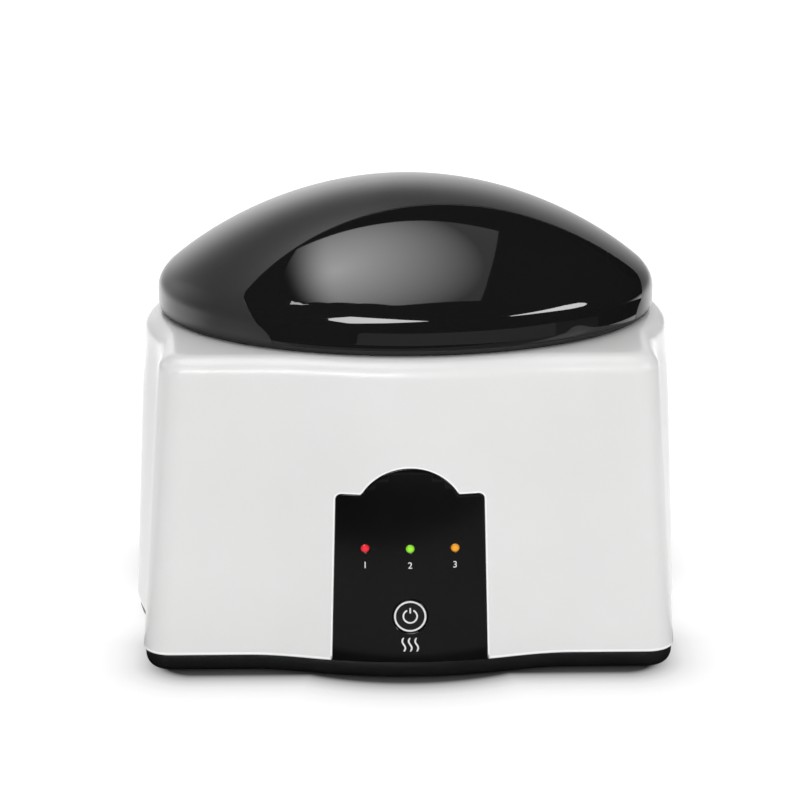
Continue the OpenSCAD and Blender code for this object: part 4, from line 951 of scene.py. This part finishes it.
def in_picture(tree):
    """Output that is 1 for rays from the camera or off gloss, and 0 for scattered light."""
    path = node(tree, "ShaderNodeLightPath").outputs
    return maths(tree, "MAXIMUM", path["Is Camera Ray"], path["Is Glossy Ray"])


# The camera sees a dark floor with its own light, which fades towards the object's footprint: a painted contact
# shadow, and the floor stays white away from the object.
# Scattered light sees a plain pale floor.
FLOOR_PALE, FLOOR_SEEN, FLOOR_HALF = 0.86, 0.15, 6
SHADOW_X, SHADOW_Y = 0.078, 0.0755
STRIP_Y, STRIP_HALF, STRIP_ROUND = 0.0475, 0.0075, 0.012
SHADOW_OUT, SHADOW_REACH = 0.002, 0.03
SHADOW_STOPS = ((0.03, 0.0), (0.13, 0.34), (0.27, 0.57), (0.42, 0.74), (0.62, 0.84), (1.0, 0.94))

floor_mat, tree, bsdf = shader("floor")
bsdf.inputs["Roughness"].default_value = 0.7
bsdf.inputs["Specular IOR Level"].default_value = 0.2
bsdf.inputs["Emission Color"].default_value = (1, 1, 1, 1)
by_camera = node(tree, "ShaderNodeLightPath").outputs["Is Camera Ray"]
tree.links.new(map_range(tree, by_camera, FLOOR_PALE, FLOOR_SEEN), bsdf.inputs["Base Color"])
spot = place_of(tree)
box_gap = maths(tree, "SUBTRACT", steps_of(tree, spot, [
    ("ABSOLUTE", None), ("SUBTRACT", (0, STRIP_Y, 0)), ("ABSOLUTE", None),
    ("SUBTRACT", (SHADOW_X, STRIP_HALF, 0)), ("MAXIMUM", (0, 0, 0)), ("LENGTH", None)]), STRIP_ROUND)
oval_gap = steps_of(tree, spot, [("MULTIPLY", (1 / SHADOW_X, 1 / SHADOW_Y, 0)), ("LENGTH", None)])
oval_gap = maths(tree, "MULTIPLY", maths(tree, "SUBTRACT", oval_gap, 1.0), SHADOW_Y)
gap = maths(tree, "MINIMUM", box_gap, oval_gap)
gap = maths(tree, "DIVIDE", maths(tree, "ADD", gap, SHADOW_OUT), SHADOW_REACH)
# painted contact shadow: the floor's own light, low at the footprint and rising away from it
shade = ramp(tree, gap, [(at, (level, level, level)) for at, level in SHADOW_STOPS])
tree.links.new(maths(tree, "MULTIPLY", in_picture(tree), shade), bsdf.inputs["Emission Strength"])
stage_plane("floor", [(x * FLOOR_HALF, y * FLOOR_HALF, 0) for x, y in ((-1, -1), (1, -1), (1, 1), (-1, 1))],
            floor_mat)


def softbox(name, corners, spot, low, reach, glossy, diffuse, fade=None):
    """Lit sheet whose brightness falls off to low from a spot; glossy rays see it at its own level.

    fade is the stretch of x over which it comes up from dark."""
    mat, t, bsdf = shader(name)
    t.nodes.remove(bsdf)
    level = map_range(t, ball_share(t, spot, 1 / reach), low, 1.0)
    by_gloss = node(t, "ShaderNodeLightPath").outputs["Is Glossy Ray"]
    strength = maths(t, "MULTIPLY", level, map_range(t, by_gloss, diffuse, glossy))
    if fade:
        soft = map_range(t, axis_of(t, "X"), 0.0, 1.0, *fade, interpolation_type="SMOOTHSTEP")
        strength = maths(t, "MULTIPLY", strength, soft)
    emit = node(t, "ShaderNodeEmission")
    t.links.new(strength, emit.inputs["Strength"])
    t.links.new(emit.outputs["Emission"], t.nodes["Material Output"].inputs["Surface"])
    return stage_plane(name, corners, mat)


def hide_but_glossy(obj):
    obj.visible_camera = obj.visible_diffuse = obj.visible_shadow = obj.visible_transmission = False
    return obj


def flag(name, corners):
    """Black card that only reflections see, as a photographer hangs round gloss black."""
    mat, t, b = shader(name)
    b.inputs["Base Color"].default_value = (0.004, 0.004, 0.004, 1)
    b.inputs["Roughness"].default_value = 1.0
    b.inputs["Specular IOR Level"].default_value = 0.0
    return hide_but_glossy(stage_plane(name, corners, mat))


ROOM_X, ROOM_FRONT, ROOM_BACK, ROOM_TOP = 3.0, -4.0, 3.0, 2.2
FLAG_Z, FLAG_Y, FLAG_LEFT, FLAG_RIGHT = 0.001, -0.03, -0.9, 0.4
GLOW_Y, SIDE_X, GLOW_Z = ROOM_BACK - 0.01, 0.01 - ROOM_X, 0.002


def room_wall(name, lo, hi):
    """Flag on one wall of the dark room round the object, between two opposite corners."""
    if lo[2] == hi[2]:
        corners = [lo, (hi[0], lo[1], lo[2]), hi, (lo[0], hi[1], lo[2])]
    else:
        corners = [lo, (hi[0], hi[1], lo[2]), hi, (lo[0], lo[1], hi[2])]
    return flag("flag_" + name, corners)


room_wall("ceiling", (-ROOM_X, ROOM_FRONT, ROOM_TOP), (ROOM_X, ROOM_BACK, ROOM_TOP))
room_wall("floor_front", (-ROOM_X, ROOM_FRONT, FLAG_Z), (ROOM_X, FLAG_Y, FLAG_Z))
room_wall("floor_left", (-ROOM_X, FLAG_Y, FLAG_Z), (FLAG_LEFT, ROOM_BACK, FLAG_Z))
room_wall("floor_right", (FLAG_RIGHT, FLAG_Y, FLAG_Z), (ROOM_X, ROOM_BACK, FLAG_Z))
room_wall("front", (-ROOM_X, ROOM_FRONT, 0), (ROOM_X, ROOM_FRONT, ROOM_TOP))
room_wall("left", (-ROOM_X, ROOM_FRONT, 0), (-ROOM_X, ROOM_BACK, ROOM_TOP))
room_wall("right", (ROOM_X, ROOM_FRONT, 0), (ROOM_X, ROOM_BACK, ROOM_TOP))

TOP, EYE = 1.3, Vector((-0.01, -0.045, 0.15))


def overhead(name, slopes, spot, low, reach, glossy, diffuse, fade=None):
    """Lit sheet at the height TOP over EYE, laid out in slopes seen from there."""
    def above(a, b):
        return EYE.x + TOP * a, EYE.y + TOP * b, EYE.z + TOP

    fade = fade and [EYE.x + TOP * a for a in fade]
    return softbox(name, [above(*s) for s in slopes], above(*spot), low, reach * TOP, glossy, diffuse, fade)


overhead("top_softbox", ((-0.47, 0.30), (-0.11, 0.35), (0.33, 0.43), (0.44, 0.46), (0.405, -0.13),
                         (0.40, -0.40), (-0.02, -0.525), (-0.53, -0.36), (-0.65, -0.14)),
         (-0.3, -0.08), 0.08, 0.68, 7.5, 2.4, (-0.57, -0.31))
overhead("corner_softbox", ((-0.67, -0.42), (-0.535, -0.45), (-0.6, -0.3)), (-0.6, -0.4), 0.8, 1.0, 9.0, 1.8)


def glow(name, corners, spot, reach, level):
    """Bright part of the backdrop or floor round the object, for reflections only."""
    return hide_but_glossy(softbox(name, corners, spot, 0.0, reach, level, 0.0))


def floor_sheet(name, z, outline, spot, reach, level):
    return glow(name, [(x, y, z) for x, y in outline], (*spot, z), reach, level)


glow("back_glow", [(-ROOM_X, GLOW_Y, 0), (ROOM_X, GLOW_Y, 0), (ROOM_X, GLOW_Y, ROOM_TOP),
                   (-ROOM_X, GLOW_Y, ROOM_TOP)], (-0.5, GLOW_Y, 1.0), 2.6, 2.4)
floor_sheet("floor_glow", GLOW_Z, ((-ROOM_X, 0.3), (ROOM_X, 0.3), (ROOM_X, GLOW_Y), (-ROOM_X, GLOW_Y)),
            (0, 0.75), 1.6, 3.5)
glow("left_glow", [(SIDE_X, 0, 0), (SIDE_X, GLOW_Y, 0), (SIDE_X, GLOW_Y, ROOM_TOP), (SIDE_X, 0, ROOM_TOP)],
     (SIDE_X, 2.4, 1.1), 2.6, 1.5)
floor_sheet("panel_glow", GLOW_Z, ((-0.5, -0.105), (0.5, -0.105), (0.5, -0.377), (-0.5, -0.163)),
            (-0.2, -0.2), 1.0, 0.27)
floor_sheet("skirt_glow", GLOW_Z + 0.001, ((-0.13, -0.40), (0.1, -0.40), (0.34, -0.24), (0.5, -0.36),
                                           (0.2, -0.52), (-0.13, -0.52)), (0.1, -0.42), 2.0, 0.34)


def towards(azimuth, elevation):
    """Unit vector to a bearing in degrees, azimuth counted from the front."""
    a, e = math.radians(azimuth), math.radians(elevation)
    return Vector((math.sin(a) * math.cos(e), -math.cos(a) * math.cos(e), math.sin(e)))


STRIP_FAR, STRIP_GLOSSY, STRIP_DIFFUSE = 1.8, 14.0, 2.2


def strip(name, azimuth, elevation, width, heights):
    """Lit card seen from the cover at that bearing, across the line of sight.

    The width is an angle in degrees. heights gives (place from -1 to 1, angle) along the card."""
    out = towards(azimuth, elevation)
    side = Vector((math.cos(math.radians(azimuth)), math.sin(math.radians(azimuth)), 0))
    up = out.cross(side)
    mid = Vector((0, -0.06, 0.13)) + STRIP_FAR * out
    w = STRIP_FAR * math.tan(math.radians(width / 2))
    rows = [(w * u, STRIP_FAR * math.tan(math.radians(h / 2))) for u, h in heights]
    corners = [mid + x * side - y * up for x, y in rows]
    corners += [mid + x * side + y * up for x, y in reversed(rows)]
    return softbox(name, [tuple(c) for c in corners], tuple(mid), 0.7, STRIP_FAR, STRIP_GLOSSY, STRIP_DIFFUSE)


strip("left_strip", -10, 25, 33, ((-1, 5), (-0.9, 9), (-0.55, 20), (0.2, 12), (1, 1)))
strip("right_strip", 59, 26, 36, ((-1, 1.5), (-0.2, 6), (0.45, 11), (0.85, 10), (1, 3)))

world = bpy.data.worlds.new("studio")
bpy.context.scene.world = world
world.use_nodes = True
wt = world.node_tree
back = wt.nodes["Background"]
back.inputs["Color"].default_value = (1, 1, 1, 1)
wt.links.new(map_range(wt, in_picture(wt), 0.6, 1.0), back.inputs["Strength"])


def aim(obj, place, target):
    """Puts a light or camera at a place and turns it to its target."""
    bpy.context.scene.collection.objects.link(obj)
    obj.location = place
    obj.rotation_euler = (target - obj.location).to_track_quat("-Z", "Y").to_euler()


lamp = bpy.data.lights.new("front_fill", "AREA")
lamp.shape, lamp.size, lamp.size_y, lamp.energy = "RECTANGLE", 1.8, 1.2, 21
fill = bpy.data.objects.new("front_fill", lamp)
aim(fill, (0.3, -2.4, 1.1), Vector((0, 0, 0.07)))
fill.visible_glossy = False

camera = bpy.data.cameras.new("camera")
camera.sensor_width, camera.lens = 36.0, 144.72
camera.clip_start, camera.clip_end = 0.05, 50
view = bpy.data.objects.new("camera", camera)
target = Vector((-2.09, 0, 82.46)) * MM
aim(view, target + 1.2 * towards(-1.2, 18), target)
bpy.context.scene.camera = view
bpy.context.scene.view_settings.view_transform = "Standard"
